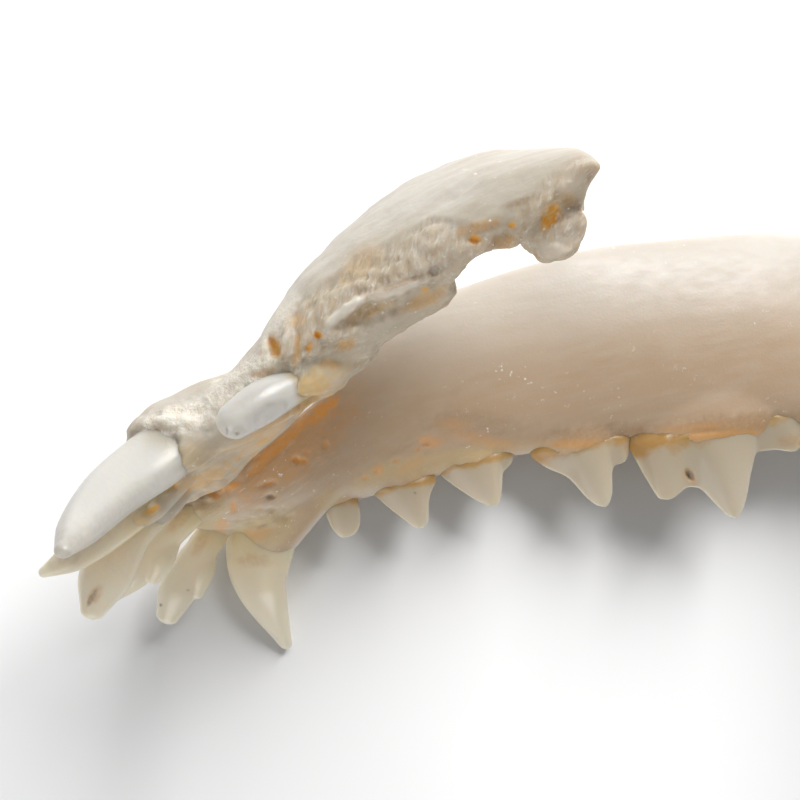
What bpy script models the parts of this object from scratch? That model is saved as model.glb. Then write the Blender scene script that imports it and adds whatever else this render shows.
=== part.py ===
"""Dog lower jaw, life size: a still bone specimen in two halves joined at the chin.

The shapes are worked out in the jaw's own directions, for the animal's right half:
X runs back from the incisors, Y runs out from the midline and Z runs up towards the teeth.
The left half is the mirror image. The right half is broken off behind the fourth premolar.
At the end every piece is turned into the pose in which the jaw lies, in metres with Z up.
"""
import math

import bpy
import bmesh
import numpy as np
from mathutils import Euler, Matrix, Vector

for old in list(bpy.data.objects):
    bpy.data.objects.remove(old, do_unlink=True)

MM = 0.001
DRAWN = 0.88                    # life size against the lengths below, drawn for a first molar of 27.4 mm
GAP = 0.3 / DRAWN               # clearance between neighbouring pieces

# The jaw's body and ramus by distance back from the incisors, mm: one column for each station.
STATION = [-3, 0, 5, 10, 16, 22, 27, 33, 45, 62, 78, 92, 105, 114, 122, 129, 136, 142, 148, 151]
CREST_Z = [2.0, 3.2, 3.9, 4.2, 3.0, 2.0, 1.4, 0.5, -0.6, 0.1, 1.6, 3.2, 6.5, 18, 31, 39, 41.5, 38, 25, 10]
LOWER_Z = [1.0, -0.2, -2.2, -3.8, -5.4, -8.2, -13, -18.4, -24.6, -26, -27.6, -28, -27, -25.5, -23.5, -21,
           -18.5, -16, -13, -7]
CREST_Y = [5, 6.6, 8.8, 10.6, 13.0, 15.6, 17.4, 18.8, 20.8, 24.2, 27.4, 29.8, 32.4, 35.0, 36.8, 38.2, 39.2,
           40.0, 40.8, 41.6]
LOWER_Y = [4.4, 5, 5.6, 6, 6.2, 6.8, 8.4, 9, 10, 11.2, 17, 22.4, 27.6, 31, 34, 36.4, 38.4, 39.6, 40.6, 41.6]
HALF_TOP = [3.8, 6, 7.8, 8.6, 7.2, 6.0, 5.6, 5.5, 5.3, 5.6, 6.0, 5.6, 4.2, 2.8, 1.9, 1.6, 1.5, 1.5, 1.7, 2.2]
HALF_MID = [3.8, 6.2, 8.2, 8.8, 7.6, 6.6, 6.4, 6.2, 5.9, 6.1, 6.4, 6.0, 4.9, 3.9, 3.2, 2.8, 2.6, 2.7, 2.9,
            3.2]
HALF_LOW = [3.4, 4.8, 6.0, 6.2, 5.8, 5.6, 5.6, 5.5, 5.3, 5.4, 5.6, 5.2, 4.7, 4.2, 3.7, 3.2, 2.9, 2.8, 2.7,
            2.5]
# The right half's lower border rises towards its break: mm lost at a distance back from WEAR_FROM.
WEAR_FROM = 46.0
WEAR_RISE = 0.00364
WEAR_POWER = 2.69
KEEL = 1.9                      # how much deeper the right half is below its second premolar, mm
LEFT_KEEL = 1.8                 # the same for the left half, where the right one hides it
KEEL_AT = 27.0
KEEL_REACH = 18.0
INNER_WALL = 2.6                # how much stouter the right half's inner tooth wall is, mm

# Cheek teeth, front to back. Each crown is an upright blade along the tooth row: the place (x, y, z) of
# its neck, the lean of its tip, its half width, its root depth and its profile as (along the row, height).
CHEEK_LEFT = [
    ((20.8, 16.8, 2.0), (0.0, 0.30, 1), 2.2, 6,
     [(-3.0, 0.4), (-2.8, 2.3), (-2.3, 4.2), (-1.0, 5.4), (0.4, 5.2), (1.6, 4.2), (2.2, 2.4), (2.4, 0.4)]),
    ((29.7, 18.9, 0.8), (0.0, 0.34, 1), 2.3, 7,
     [(-4.6, 0.4), (-2.5, 3.2), (-0.5, 5.5), (0.8, 6.8), (1.8, 7.0), (2.8, 6.3), (3.6, 3.6), (4.3, 2.0),
      (5.6, 0.4)]),
    ((41.4, 21.0, -0.9), (0.0, 0.32, 1), 2.7, 8,
     [(-6.2, 0.4), (-5.4, 1.4), (-2.2, 5.0), (-0.4, 6.6), (0.8, 7.3), (2.0, 7.3), (3.2, 4.9), (4.0, 2.6),
      (5.4, 1.6), (6.4, 0.4)]),
    ((57.6, 24.0, -0.1), (0.0, 0.32, 1), 3.3, 9,
     [(-7.6, 0.4), (-5.8, 2.3), (-3.0, 4.4), (-0.6, 8.5), (0.6, 9.6), (1.5, 9.8), (2.9, 8.2), (4.0, 4.6),
      (4.8, 3.8), (6.2, 3.6), (7.4, 2.2), (8.4, 0.4)]),
    ((77.0, 27.7, 1.3), (0.0, 0.32, 1), 4.3, 11,
     [(-12.2, 0.5), (-11.0, 5.6), (-9.9, 8.8), (-8.4, 9.1), (-5.1, 7.8), (-3.5, 8.3), (-2.1, 10.6),
      (-0.5, 13.2), (0.4, 13.7), (1.3, 13.2), (2.9, 11.0), (4.9, 7.2), (6.9, 4.4), (9.5, 4.6), (12.4, 5.4),
      (14.0, 4.2), (15.2, 0.6)]),
    ((97.4, 31.0, 3.6), (0.0, 0.25, 1), 3.6, 7,
     [(-5.0, 0.5), (-3.8, 3.6), (-2.2, 4.8), (-0.4, 3.3), (1.8, 3.8), (3.6, 3.2), (5.0, 0.4)]),
    ((105.6, 32.6, 5.8), (0.0, 0.2, 1), 2.4, 6, [(-2.6, 0.4), (-1.3, 2.4), (0, 3.0), (1.5, 2.2), (2.6, 0.4)]),
]
# The one cheek tooth left in the right half has slipped forwards and lies almost along the row.
LOOSE_TOOTH = [(30.0, 14.7, -2.6), (27.5, 16.1, -0.7), (25.2, 17.6, 0.7), (22.7, 19.0, 2.3), (19.7, 20.4, 4.5)]
LOOSE_TOOTH_HALF = [1.3, 1.8, 2.2, 2.5, 2.1]
# The ledge of bone that it lies on.
LEDGE = [(35.1, 12.8, -5.0), (31.4, 13.5, -2.8), (29.0, 14.0, -1.0), (24.8, 14.7, 0.8), (20.3, 14.7, 2.1),
         (15.6, 14.6, 3.2)]
LEDGE_HALF = [1.6, 1.8, 1.8, 1.8, 1.8, 1.5]
# The incisors that are left, two a side, long in the root: the line from root end to tip, then half
# sizes across the picture plane and through it, then the side cusp's offset from the crown bend or None.
INCISORS_LEFT = [
    ([(11, -3.2, -1.5), (5.2, -2.6, 2.4), (-1.5, -3.4, 6.2), (-6.4, -4.2, 9.4), (-10.2, -4.6, 11.6)],
     [1.3, 1.9, 1.9, 2.2, 1.2], [1.1, 1.7, 1.8, 1.9, 0.9], (2.0, -0.4, 1.4)),
    ([(7.9, -11.2, -1.8), (3.0, -12.4, 1.5), (-1.0, -13.6, 4.9), (-5.8, -15.2, 9.3), (-8.6, -16.3, 13.0)],
     [1.3, 2.2, 2.5, 3.0, 1.8], [1.1, 1.9, 2.2, 2.5, 1.2], (2.4, -0.6, 1.5)),
]
INCISORS_RIGHT = [
    ([(8.0, 5.0, 0), (3.4, 5.8, 4.0), (-1.4, 6.2, 8.6), (-4.8, 6.2, 13.0), (-6.8, 6.0, 17.0)],
     [1.3, 2.3, 2.6, 3.4, 1.6], [1.1, 1.9, 2.2, 2.4, 1.1], None),
    ([(9.0, 9.7, 2.3), (3.7, 10.2, 6.3), (-0.8, 11.5, 9.5), (-4.8, 13.0, 12.2), (-7.9, 14.3, 13.8)],
     [1.5, 2.1, 2.2, 1.9, 0.7], [1.3, 1.8, 1.9, 1.6, 0.6], None),
]
# Canine: root end, root bend, neck, crown bend and tip, with half length and half width at each.
CANINE_LINE = [(27, 10.6, -4.6), (18.0, 12.8, -1.6), (8.0, 16.2, 3.0), (4.9, 20.6, 10.4), (5.3, 28.4, 18.2)]
CANINE_LONG = [1.6, 3.8, 6.3, 5.1, 1.1]
CANINE_WIDE = [1.2, 2.3, 3.1, 2.8, 0.9]
# The right one stands edge on and is slimmer.
RIGHT_CANINE_LINE = [(27, 10.6, -4.6), (18.0, 12.8, -1.6), (8.5, 15.8, 3.6), (4.9, 21.1, 9.6), (4.1, 25.0, 14.4),
                     (4.7, 28.5, 18.3)]
RIGHT_CANINE_LONG = [1.6, 3.6, 4.3, 3.3, 2.3, 0.9]
RIGHT_CANINE_WIDE = [1.2, 2.3, 3.1, 2.8, 2.1, 0.8]
# The bone's swelling over the canine's root, which ends short of the neck.
SWELL_LINE = [(26, 11, -4.2), (18.5, 12.8, -1.6), (10.4, 15.2, 1.4), (8.2, 16.0, 2.6)]
SWELL_LONG = [2.6, 4.8, 6.3, 6.4]
SWELL_WIDE = [2.2, 3.3, 3.8, 3.7]
RIGHT_SWELL_LONG = [2.6, 4.7, 5.5, 4.9]

# The broad side of the incisors' crowns runs this way.
ACROSS = (0.9, -0.25, 0.35)

# The right half sits slightly askew on the left one: a turn in degrees about a point of the chin.
ASKEW = (-1.9, 4.3, 3.5)
ASKEW_AT = (15, 0, -4)
# Open root sockets and pits of the right half: mouth (x, y, z), offset to the floor, half length, half width.
SOCKETS = [
    ((25.9, 21.8, -2.4), (-0.5, -2.8, -1.4), 0.9, 1.4),
    ((31.0, 20.6, -2.2), (0.6, -1.8, -1.6), 0.8, 0.8),
    ((58.2, 26.4, -3.4), (1.0, -2.8, -9.0), 2.9, 1.9),
]
# The wall outside these sockets is gone, which leaves an open trough: its line and half size.
TROUGH = [(31.4, 20.4, -0.8), (35.4, 21.6, -2.3), (40.4, 22.9, -3.8), (44.6, 24.2, -5.2)]
TROUGH_HALF = [0.9, 1.9, 2.1, 1.2]
OUTER_WALL = 3.6                # how thick the walls are that reach back to the splinter's end, mm
LOWER_WALL = 4.5
BREAK_AT = (58.2, 29.0, -5.4)   # a point of the slanting break at the splinter's end
BREAK_TURN = (0, -68.4, -4.5)
# What is gone below and above the splinter's tip: outlines of (along, height) and the way of the cut.
TIP_EDGES = [
    [(62.6, -16.9), (78.2, -10.1), (76.3, -5.6), (65.3, -10.2), (64.6, -12.1), (63.7, -13.5), (62.1, -14.9)],
    [(65.4, -10.3), (76.3, -5.9), (73.0, 8.0), (59.8, 3.6), (61.3, -1.8), (61.5, -3.7), (62.1, -6.1), (63.3, -8.3)],
]
TIP_WAY = (0.170, -0.805, -0.686)
# The crest is lost here down to a slope: the slope's edge as (along, height) and the way it falls.
LOST_CREST = [(60.6, 14), (60.3, 0.5), (57.5, -0.3), (55.5, -1.9), (52.5, -3.7), (50.5, -3.9), (49.2, -3.5),
              (48.0, -2.0), (46.8, 0.2), (44.6, 2.4), (43.6, 14)]
LOST_AT = 26.0
LOST_SLOPE = (0.03, -0.82, -0.61)
# A stump of the wall between two sockets at the splinter's inner side, with its half sizes.
STUMP = [(57.9, 23.2, -9.8), (58.5, 23.6, -6.3), (58.5, 23.2, -3.9)]
STUMP_HALF = [3.6, 3.8, 2.6]

# How the jaw lies: turn from the jaw's own directions to the floor's, degrees.
LIE = (59.65, -12.89, 15.60)
FLAT = 0.35 / DRAWN             # depth of the small flats that it rests on


def smooth_curve(xs, ys):
    """A curve through the stations that never overshoots them."""
    xs = np.asarray(xs, float)
    ys = np.asarray(ys, float)
    h = np.diff(xs)
    d = np.diff(ys) / h
    m = np.zeros_like(ys)
    for i in range(1, len(xs) - 1):
        if d[i - 1] * d[i] > 0:
            w1 = 2 * h[i] + h[i - 1]
            w2 = h[i] + 2 * h[i - 1]
            m[i] = (w1 + w2) / (w1 / d[i - 1] + w2 / d[i])
    m[0] = d[0]
    m[-1] = d[-1]

    def value(x):
        i = int(np.clip(np.searchsorted(xs, x) - 1, 0, len(h) - 1))
        t = (x - xs[i]) / h[i]
        a = (1 + 2 * t) * (1 - t) ** 2
        b = t * (1 - t) ** 2
        c = t * t * (3 - 2 * t)
        e = t * t * (t - 1)
        return a * ys[i] + b * h[i] * m[i] + c * ys[i + 1] + e * h[i] * m[i + 1]
    return value


crest_z = smooth_curve(STATION, CREST_Z)
lower_z = smooth_curve(STATION, LOWER_Z)
crest_y = smooth_curve(STATION, CREST_Y)
lower_y = smooth_curve(STATION, LOWER_Y)
half_top = smooth_curve(STATION, HALF_TOP)
half_mid = smooth_curve(STATION, HALF_MID)
half_low = smooth_curve(STATION, HALF_LOW)


def body_ring(x, count, wear=0.0, stout=0.0, keel=0.0, power=2.5):
    """One upright section of the jaw at x: a rounded bar that leans in at its lower border."""
    ring = []
    rise = min(max((x - 13) / 9, 0), 1)
    extra = stout * rise * rise * (3 - 2 * rise)
    low_z = lower_z(x) + wear * max(x - WEAR_FROM, 0) ** WEAR_POWER
    away = min(abs(x - KEEL_AT) / KEEL_REACH, 1)
    low_z -= keel * math.cos(away * math.pi / 2) ** 2
    for k in range(count):
        a = 2 * math.pi * k / count
        s = math.copysign(abs(math.sin(a)) ** (2 / power), math.sin(a))
        c = math.copysign(abs(math.cos(a)) ** (2 / power), math.cos(a))
        u = 0.5 * (1 + s)
        if s > 0:
            half = half_mid(x) + (half_top(x) - half_mid(x)) * s
        else:
            half = half_mid(x) + (half_mid(x) - half_low(x)) * s
        inner = max(-c, 0) * max(s + 0.5, 0) / 1.5
        y = lower_y(x) + (crest_y(x) - lower_y(x)) * u + c * half - extra * inner
        z = low_z + (crest_z(x) - low_z) * u + 0.5 * extra * inner
        ring.append(Vector((x, y, z)))
    return ring


def loft(rings):
    """Closed surface over rings of equal count, with a fan at each end."""
    bm = bmesh.new()
    rows = [[bm.verts.new(p) for p in ring] for ring in rings]
    count = len(rings[0])
    for a, b in zip(rows, rows[1:]):
        for k in range(count):
            j = (k + 1) % count
            bm.faces.new((a[k], a[j], b[j], b[k]))
    for row, flip in ((rows[0], True), (rows[-1], False)):
        hub = bm.verts.new(sum((v.co for v in row), Vector()) / count)
        for k in range(count):
            j = (k + 1) % count
            if flip:
                bm.faces.new((row[j], row[k], hub))
            else:
                bm.faces.new((row[k], row[j], hub))
    bmesh.ops.recalc_face_normals(bm, faces=bm.faces[:])
    if bm.calc_volume(signed=True) < 0:
        bmesh.ops.reverse_faces(bm, faces=bm.faces[:])
    return bm


def oval(centre, long_dir, wide_dir, long_half, wide_half, count):
    """Ring of points on an ellipse."""
    ring = []
    for k in range(count):
        a = 2 * math.pi * k / count
        ring.append(centre + long_dir * (long_half * math.cos(a)) + wide_dir * (wide_half * math.sin(a)))
    return ring


def cusp(base, tip_off, half_len, half_wid, root, row_dir, count=10, levels=5, blunt=1.2):
    """A pointed crown on a tapered root that sinks into the bone."""
    base = Vector(base)
    off = Vector(tip_off)
    axis = off.normalized()
    along = (Vector(row_dir) - axis * axis.dot(Vector(row_dir))).normalized()
    across = axis.cross(along)
    rings = [oval(base - axis * root, along, across, half_len * 0.45, half_wid * 0.45, count)]
    rings.append(oval(base - axis * (root * 0.4), along, across, half_len * 0.8, half_wid * 0.8, count))
    for i in range(levels + 1):
        t = i / levels * 0.97
        r = (1 - t ** blunt) * 0.9 + 0.1 * math.sqrt(1 - t * t)
        rings.append(oval(base + off * t, along, across, half_len * r, half_wid * (0.35 + 0.65 * r) * r ** 0.25,
                          count))
    return loft(rings)


def crown(place, lean, half_wid, root, profile, count=10, steps=3):
    """A cheek tooth: upright sections along the row, each a narrow oval from root to cutting edge."""
    base = Vector(place)
    along = row_direction(base.x)
    up = Vector(lean).normalized()
    across = up.cross(along).normalized()
    height = smooth_curve([p[0] for p in profile], [p[1] for p in profile])
    first = profile[0][0]
    last = profile[-1][0]
    total = steps * (len(profile) - 1) // 2 + 2
    rings = []
    for i in range(total + 1):
        w = i / total
        s = first + (last - first) * (0.5 - 0.5 * math.cos(math.pi * w)) * 0.998 + 0.01
        edge = abs(2 * (s - first) / (last - first) - 1)
        full = max(1 - edge ** 2.6, 0.02) ** 0.5
        top = height(s)
        low = -root * full
        wide = half_wid * full
        ring = []
        for k in range(count):
            a = 2 * math.pi * k / count
            v = 0.5 * (top + low) + 0.5 * (top - low) * math.sin(a)
            thin = 1 - 0.55 * max(v, 0) / max(top, 0.1)
            ring.append(base + along * s + up * v + across * (wide * math.cos(a) * thin))
        rings.append(ring)
    return loft(rings)


def bent_cone(line, longs, wides, row_dir, count=14, steps=4):
    """A curved spike with rounded ends through the points of a line, oval in section."""
    pts = [Vector(p) for p in line]
    reach = [0.0]
    for a, b in zip(pts, pts[1:]):
        reach.append(reach[-1] + (b - a).length)
    along = [smooth_curve(reach, [p[i] for p in pts]) for i in range(3)]
    long_at = smooth_curve(reach, longs)
    wide_at = smooth_curve(reach, wides)
    total = steps * (len(pts) - 1)
    rings = []
    for i in range(total + 1):
        s = reach[-1] * i / total
        here = Vector((along[0](s), along[1](s), along[2](s)))
        ahead = Vector([f(min(s + 0.2, reach[-1])) for f in along])
        behind = Vector([f(max(s - 0.2, 0)) for f in along])
        axis = (ahead - behind).normalized()
        u = Vector(row_dir) - axis * axis.dot(Vector(row_dir))
        u.normalize()
        v = axis.cross(u)
        if i == 0:
            rings.append(oval(here - axis * (wide_at(s) * 0.7), u, v, long_at(s) * 0.55, wide_at(s) * 0.55, count))
        rings.append(oval(here, u, v, long_at(s), wide_at(s), count))
        if i == total:
            rings.append(oval(here + axis * (wide_at(s) * 0.55), u, v, long_at(s) * 0.75, wide_at(s) * 0.75, count))
            rings.append(oval(here + axis * (wide_at(s) * 0.85), u, v, long_at(s) * 0.4, wide_at(s) * 0.4, count))
    return loft(rings)


def box(low, high):
    """Closed box between two corners."""
    bm = bmesh.new()
    bmesh.ops.create_cube(bm, size=1.0)
    size = Vector(high) - Vector(low)
    mid = (Vector(high) + Vector(low)) / 2
    for v in bm.verts:
        v.co = Vector((v.co.x * size.x, v.co.y * size.y, v.co.z * size.z)) + mid
    return bm


def slope_cut(outline, level, way, front, back):
    """Closed solid from an outline of (x, z) at y = level, pushed along a sloping way."""
    way = Vector(way).normalized()
    rings = [[Vector((x, level, z)) + way * t for x, z in outline] for t in (front, back)]
    return loft(rings)


def put(bm, name, collection):
    """Turn a bmesh into an object in a collection."""
    mesh = bpy.data.meshes.new(name)
    bm.to_mesh(mesh)
    bm.free()
    obj = bpy.data.objects.new(name, mesh)
    collection.objects.link(obj)
    return obj


parts = bpy.data.collections.new("dog_lower_jaw")
cutters = bpy.data.collections.new("cutters")
bpy.context.scene.collection.children.link(parts)
bpy.context.scene.collection.children.link(cutters)


def combine(obj, other_bm, operation, solver="EXACT"):
    """Apply one Boolean and keep the largest closed surface of the result."""
    tool = put(other_bm, obj.name + "_tool", cutters)
    mod = obj.modifiers.new("Boolean", "BOOLEAN")
    mod.operation = operation
    mod.solver = solver
    mod.object = tool
    depsgraph = bpy.context.evaluated_depsgraph_get()
    mesh = bpy.data.meshes.new_from_object(obj.evaluated_get(depsgraph))
    obj.modifiers.clear()
    obj.data = mesh
    bpy.data.objects.remove(tool, do_unlink=True)
    keep_largest(obj)


def keep_largest(obj):
    """Drop loose chips that a cut leaves, and weld tiny edges."""
    bm = bmesh.new()
    bm.from_mesh(obj.data)
    bmesh.ops.remove_doubles(bm, verts=bm.verts[:], dist=0.0001)
    todo = set(bm.verts)
    groups = []
    while todo:
        seed = todo.pop()
        group = {seed}
        front = [seed]
        while front:
            v = front.pop()
            for e in v.link_edges:
                w = e.other_vert(v)
                if w in todo:
                    todo.remove(w)
                    group.add(w)
                    front.append(w)
        groups.append(group)
    groups.sort(key=len)
    loose = [v for group in groups[:-1] for v in group]
    bmesh.ops.delete(bm, geom=loose, context="VERTS")
    bmesh.ops.triangulate(bm, faces=bm.faces[:])
    bm.to_mesh(obj.data)
    bm.free()


def row_direction(x):
    """Direction of the tooth row at x."""
    return (Vector((x + 4, crest_y(x + 4), 0)) - Vector((x - 4, crest_y(x - 4), 0))).normalized()


def jaw_half(name, stations, swell_long, wear=0.0, stout=0.0, keel=0.0):
    """One half of the jaw's bone, in the right half's directions."""
    obj = put(loft([body_ring(x, 22, wear, stout, keel) for x in stations]), name, parts)
    # The canine's root swells the side of the jaw.
    swell = bent_cone(SWELL_LINE, swell_long, SWELL_WIDE, (1, 0, 1), 14, 3)
    combine(obj, swell, "UNION")
    return obj


def add_incisors(obj, incisors):
    """Join the incisors to their bone."""
    for line, longs, wides, side in incisors:
        combine(obj, bent_cone(line, longs, wides, ACROSS, 10, 3), "UNION")
        if side:
            top = Vector(line[3]) + Vector(side)
            foot = Vector(line[2]) + Vector(side) * 0.4
            combine(obj, bent_cone([foot, (foot + top) / 2, top], [1.2, 1.7, 1.1], [1.2, 1.6, 0.9], ACROSS, 10, 2),
                    "UNION")


def span(low, high, count):
    """Evenly spaced numbers, both ends included."""
    return [low + (high - low) * i / (count - 1) for i in range(count)]


# Left half: the body, the ramus with its coronoid process, the condyle and the angular process.
left = jaw_half("mandible_left", span(-3, 110, 31) + span(113, 151, 16), SWELL_LONG, keel=LEFT_KEEL)
for place, lean, half_wid, root, profile in CHEEK_LEFT:
    combine(left, crown(place, lean, half_wid, root, profile), "UNION")
neck = bent_cone([(141, 39.8, 2), (147, 40.8, 4.5), (152.5, 41.8, 6.2)], [5.5, 4.8, 3.8], [2.4, 2.9, 3.6],
                 (0, 0, 1), 12, 3)
combine(left, neck, "UNION")
condyle = bent_cone([(154, 30.8, 4.0), (154.5, 34.4, 5.0), (155, 42.4, 6.2), (155.5, 50.4, 6.8), (155.2, 54, 6.2)],
                    [1.4, 3.4, 4.0, 3.8, 1.5], [1.2, 3.0, 3.7, 3.3, 1.2], (1, 0, 0), 14, 3)
combine(left, condyle, "UNION")
angle = bent_cone([(138, 38.6, -13), (148, 40.4, -13.4), (157, 41.6, -12.2), (163, 42, -9.6)],
                  [5.2, 4.4, 3.0, 1.2], [2.6, 2.5, 2.0, 1.0], (0, 0, 1), 12, 3)
combine(left, angle, "UNION")
# The hollow for the chewing muscle on the outer side of the ramus.
fossa = bent_cone([(112, 41.0, 0), (120, 42.9, 6), (130, 44.1, 12), (138, 44.3, 20)],
                  [3, 11, 13, 5], [1.2, 3.6, 4.0, 1.8], (0, 0, 1), 16, 3)
combine(left, fossa, "DIFFERENCE")

# Right half: broken off, with open sockets.
right = jaw_half("mandible_right", span(-3, 70, 25), RIGHT_SWELL_LONG, WEAR_RISE, INNER_WALL, KEEL)
# Only the outer and lower walls reach back to the splinter's end.
hollow = []
for x in span(46.5, 80, 11):
    ring = body_ring(x, 16, WEAR_RISE)
    hollow.append([Vector((p.x, p.y - OUTER_WALL, p.z + LOWER_WALL)) for p in ring])
combine(right, loft(hollow), "DIFFERENCE")


def canine(name, line, longs, wides):
    """A canine tooth with its root."""
    return put(bent_cone(line, longs, wides, (1, 0, 1), 16, 4), name, parts)


def socket_of_canine(line, longs, wides):
    """The room that the canine takes up, wider all round by the gap."""
    pts = [Vector(p) for p in line]
    pts[0] += (pts[0] - pts[1]).normalized() * GAP
    pts[-1] += (pts[-1] - pts[-2]).normalized() * GAP
    return bent_cone(pts, [v + GAP for v in longs], [v + GAP for v in wides], (1, 0, 1), 16, 4)


LEFT_CANINE = (CANINE_LINE, CANINE_LONG, CANINE_WIDE)
RIGHT_CANINE = (RIGHT_CANINE_LINE, RIGHT_CANINE_LONG, RIGHT_CANINE_WIDE)
left_canine = canine("canine_left", *LEFT_CANINE)
right_canine = canine("canine_right", *RIGHT_CANINE)

askew = Euler([math.radians(v) for v in ASKEW]).to_matrix().to_4x4()
about = Matrix.Translation(Vector(ASKEW_AT))
turn = about @ askew @ about.inverted()
for obj in (right, right_canine):
    obj.data.transform(turn)
mirror = Matrix.Diagonal((1, -1, 1, 1))
for obj in (left, left_canine):
    obj.data.transform(mirror)
    obj.data.flip_normals()
combine(right, bent_cone(LEDGE, LEDGE_HALF, [v * 0.8 for v in LEDGE_HALF], (0, 0, 1), 12, 3), "UNION")
combine(right, bent_cone(LOOSE_TOOTH, LOOSE_TOOTH_HALF, LOOSE_TOOTH_HALF, (0, 0, 1), 12, 3), "UNION")
for obj, tooth, incisors in ((left, LEFT_CANINE, INCISORS_LEFT), (right, RIGHT_CANINE, INCISORS_RIGHT)):
    add_incisors(obj, incisors)
    room = socket_of_canine(*tooth)
    room.transform(mirror if obj is left else turn)
    if obj is left:
        bmesh.ops.reverse_faces(room, faces=room.faces[:])
    combine(obj, room, "DIFFERENCE")
for outline in TIP_EDGES:
    combine(right, slope_cut(outline, LOST_AT, TIP_WAY, -14, 22), "DIFFERENCE")
broken_end = box((0, -60, -60), (40, 60, 60))
broken_end.transform(Matrix.Translation(BREAK_AT)
                     @ Euler([math.radians(v) for v in BREAK_TURN]).to_matrix().to_4x4())
combine(right, broken_end, "DIFFERENCE")
combine(right, slope_cut(LOST_CREST, LOST_AT, LOST_SLOPE, -14, 22), "DIFFERENCE")
combine(right, bent_cone(STUMP, STUMP_HALF, [v * 0.7 for v in STUMP_HALF], (1, 0, 0), 12, 3), "UNION")
combine(right, bent_cone(TROUGH, TROUGH_HALF, TROUGH_HALF, (0, 0, 1), 12, 3), "DIFFERENCE")
for mouth, off, half_len, half_wid in SOCKETS:
    pit = cusp(mouth, off, half_len, half_wid, 3.0, (1, 0.1, 0), 10, 4, 3.0)
    combine(right, pit, "DIFFERENCE")

# The two halves meet at the chin on flat faces with the gap between them.
combine(left, box((-20, -GAP / 2, -60), (60, 30, 40)), "DIFFERENCE")
combine(right, box((-20, -40, -60), (90, GAP / 2, 40)), "DIFFERENCE")

# Each piece is turned into the lying pose and scaled to metres, centred over the origin.
lie = Euler([math.radians(v) for v in LIE]).to_matrix().to_4x4()
pieces = [left, right, left_canine, right_canine]
for obj in pieces:
    obj.data.transform(lie)
# It rests on small flats at one level: the side of the left canine, the chin beside it and the lower border.
lowest = min(v.co.z for obj in pieces for v in obj.data.vertices)
for obj in (left, left_canine):
    combine(obj, box((-300, -300, lowest - 50), (300, 300, lowest + FLAT)), "DIFFERENCE")
for obj in pieces:
    obj.data.transform(Matrix.Scale(MM * DRAWN, 4))
corners = np.array([obj.data.vertices[i].co[:] for obj in pieces for i in range(len(obj.data.vertices))])
low = corners.min(axis=0)
high = corners.max(axis=0)
shift = Matrix.Translation((-(low[0] + high[0]) / 2, -(low[1] + high[1]) / 2, -low[2]))
for obj in pieces:
    obj.data.transform(shift)


def bone_material(name, colour, roughness):
    """Plain surface for one kind of piece."""
    mat = bpy.data.materials.new(name)
    mat.use_nodes = True
    shader = mat.node_tree.nodes["Principled BSDF"]
    shader.inputs["Base Color"].default_value = (*colour, 1)
    shader.inputs["Roughness"].default_value = roughness
    shader.inputs["Metallic"].default_value = 0.0
    return mat


dry_bone = bone_material("dry_bone", (0.78, 0.66, 0.50), 0.55)
enamel = bone_material("enamel", (0.85, 0.81, 0.72), 0.25)
for obj in pieces:
    obj.data.materials.clear()
    obj.data.materials.append(enamel if obj.name.startswith("canine") else dry_bone)
    obj.data.shade_smooth()
    obj.data.set_sharp_from_angle(angle=math.radians(40))
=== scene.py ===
"""Looks of a dry dog's lower jaw, lying on its left side as a museum would show it.

The shapes are worked out in the jaw's own directions, as the solids are: X back from the incisors,
Y out to the animal's right, Z up towards the teeth, in drawn millimetres. TO_FLOOR scales them to life
size and turns them into the lying pose.
"""

import math

import bmesh
import bpy
import numpy as np
from mathutils import Euler, Matrix, Vector, noise


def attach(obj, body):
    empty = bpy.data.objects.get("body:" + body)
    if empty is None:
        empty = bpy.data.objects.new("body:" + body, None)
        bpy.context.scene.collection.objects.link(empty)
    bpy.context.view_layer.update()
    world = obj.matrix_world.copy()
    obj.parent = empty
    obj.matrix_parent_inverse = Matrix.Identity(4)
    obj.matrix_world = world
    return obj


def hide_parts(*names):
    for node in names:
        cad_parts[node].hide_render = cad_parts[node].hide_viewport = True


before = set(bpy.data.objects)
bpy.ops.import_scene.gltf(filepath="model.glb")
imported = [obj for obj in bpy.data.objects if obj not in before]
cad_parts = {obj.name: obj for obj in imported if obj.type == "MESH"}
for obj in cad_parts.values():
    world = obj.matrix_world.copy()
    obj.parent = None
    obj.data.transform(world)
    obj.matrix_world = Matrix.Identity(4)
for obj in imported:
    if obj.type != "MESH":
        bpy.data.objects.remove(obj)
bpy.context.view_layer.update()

# How the jaw's own directions are turned, scaled and set on the floor, as in the solids.
LIE = (59.65, -12.89, 15.60)
DRAWN = 0.88
MM = 0.001
SHIFT = (-0.0684762, -0.0070582, 0.0129880)


def turned(angles):
    """Matrix for a turn about X, Y and Z by angles in degrees."""
    return Euler([math.radians(v) for v in angles]).to_matrix().to_4x4()


TO_FLOOR = Matrix.Translation(SHIFT) @ Matrix.Scale(MM * DRAWN, 4) @ turned(LIE)
# The left half is drawn on the right and mirrored. The right half sits slightly askew on it.
MIRROR = Matrix.Diagonal((1, -1, 1, 1))
ASKEW = (-1.9, 4.3, 3.5)
ASKEW_AT = (15, 0, -4)
TURN = Matrix.Translation(ASKEW_AT) @ turned(ASKEW) @ Matrix.Translation(ASKEW_AT).inverted()

# The camera stands where the photograph's did, in the jaw's own directions. FOCAL and FRAME are in pixels.
CAMERA_AT = (50.383, 94.733, 47.265)
CAMERA_RIGHT = (0.95536, -0.24309, 0.16793)
CAMERA_DOWN = (-0.26028, -0.42352, 0.86769)
CAMERA_AWAY = (-0.13980, -0.87266, -0.46788)
FOCAL = 803.17
FRAME = 800
SENSOR = 36.0

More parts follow.
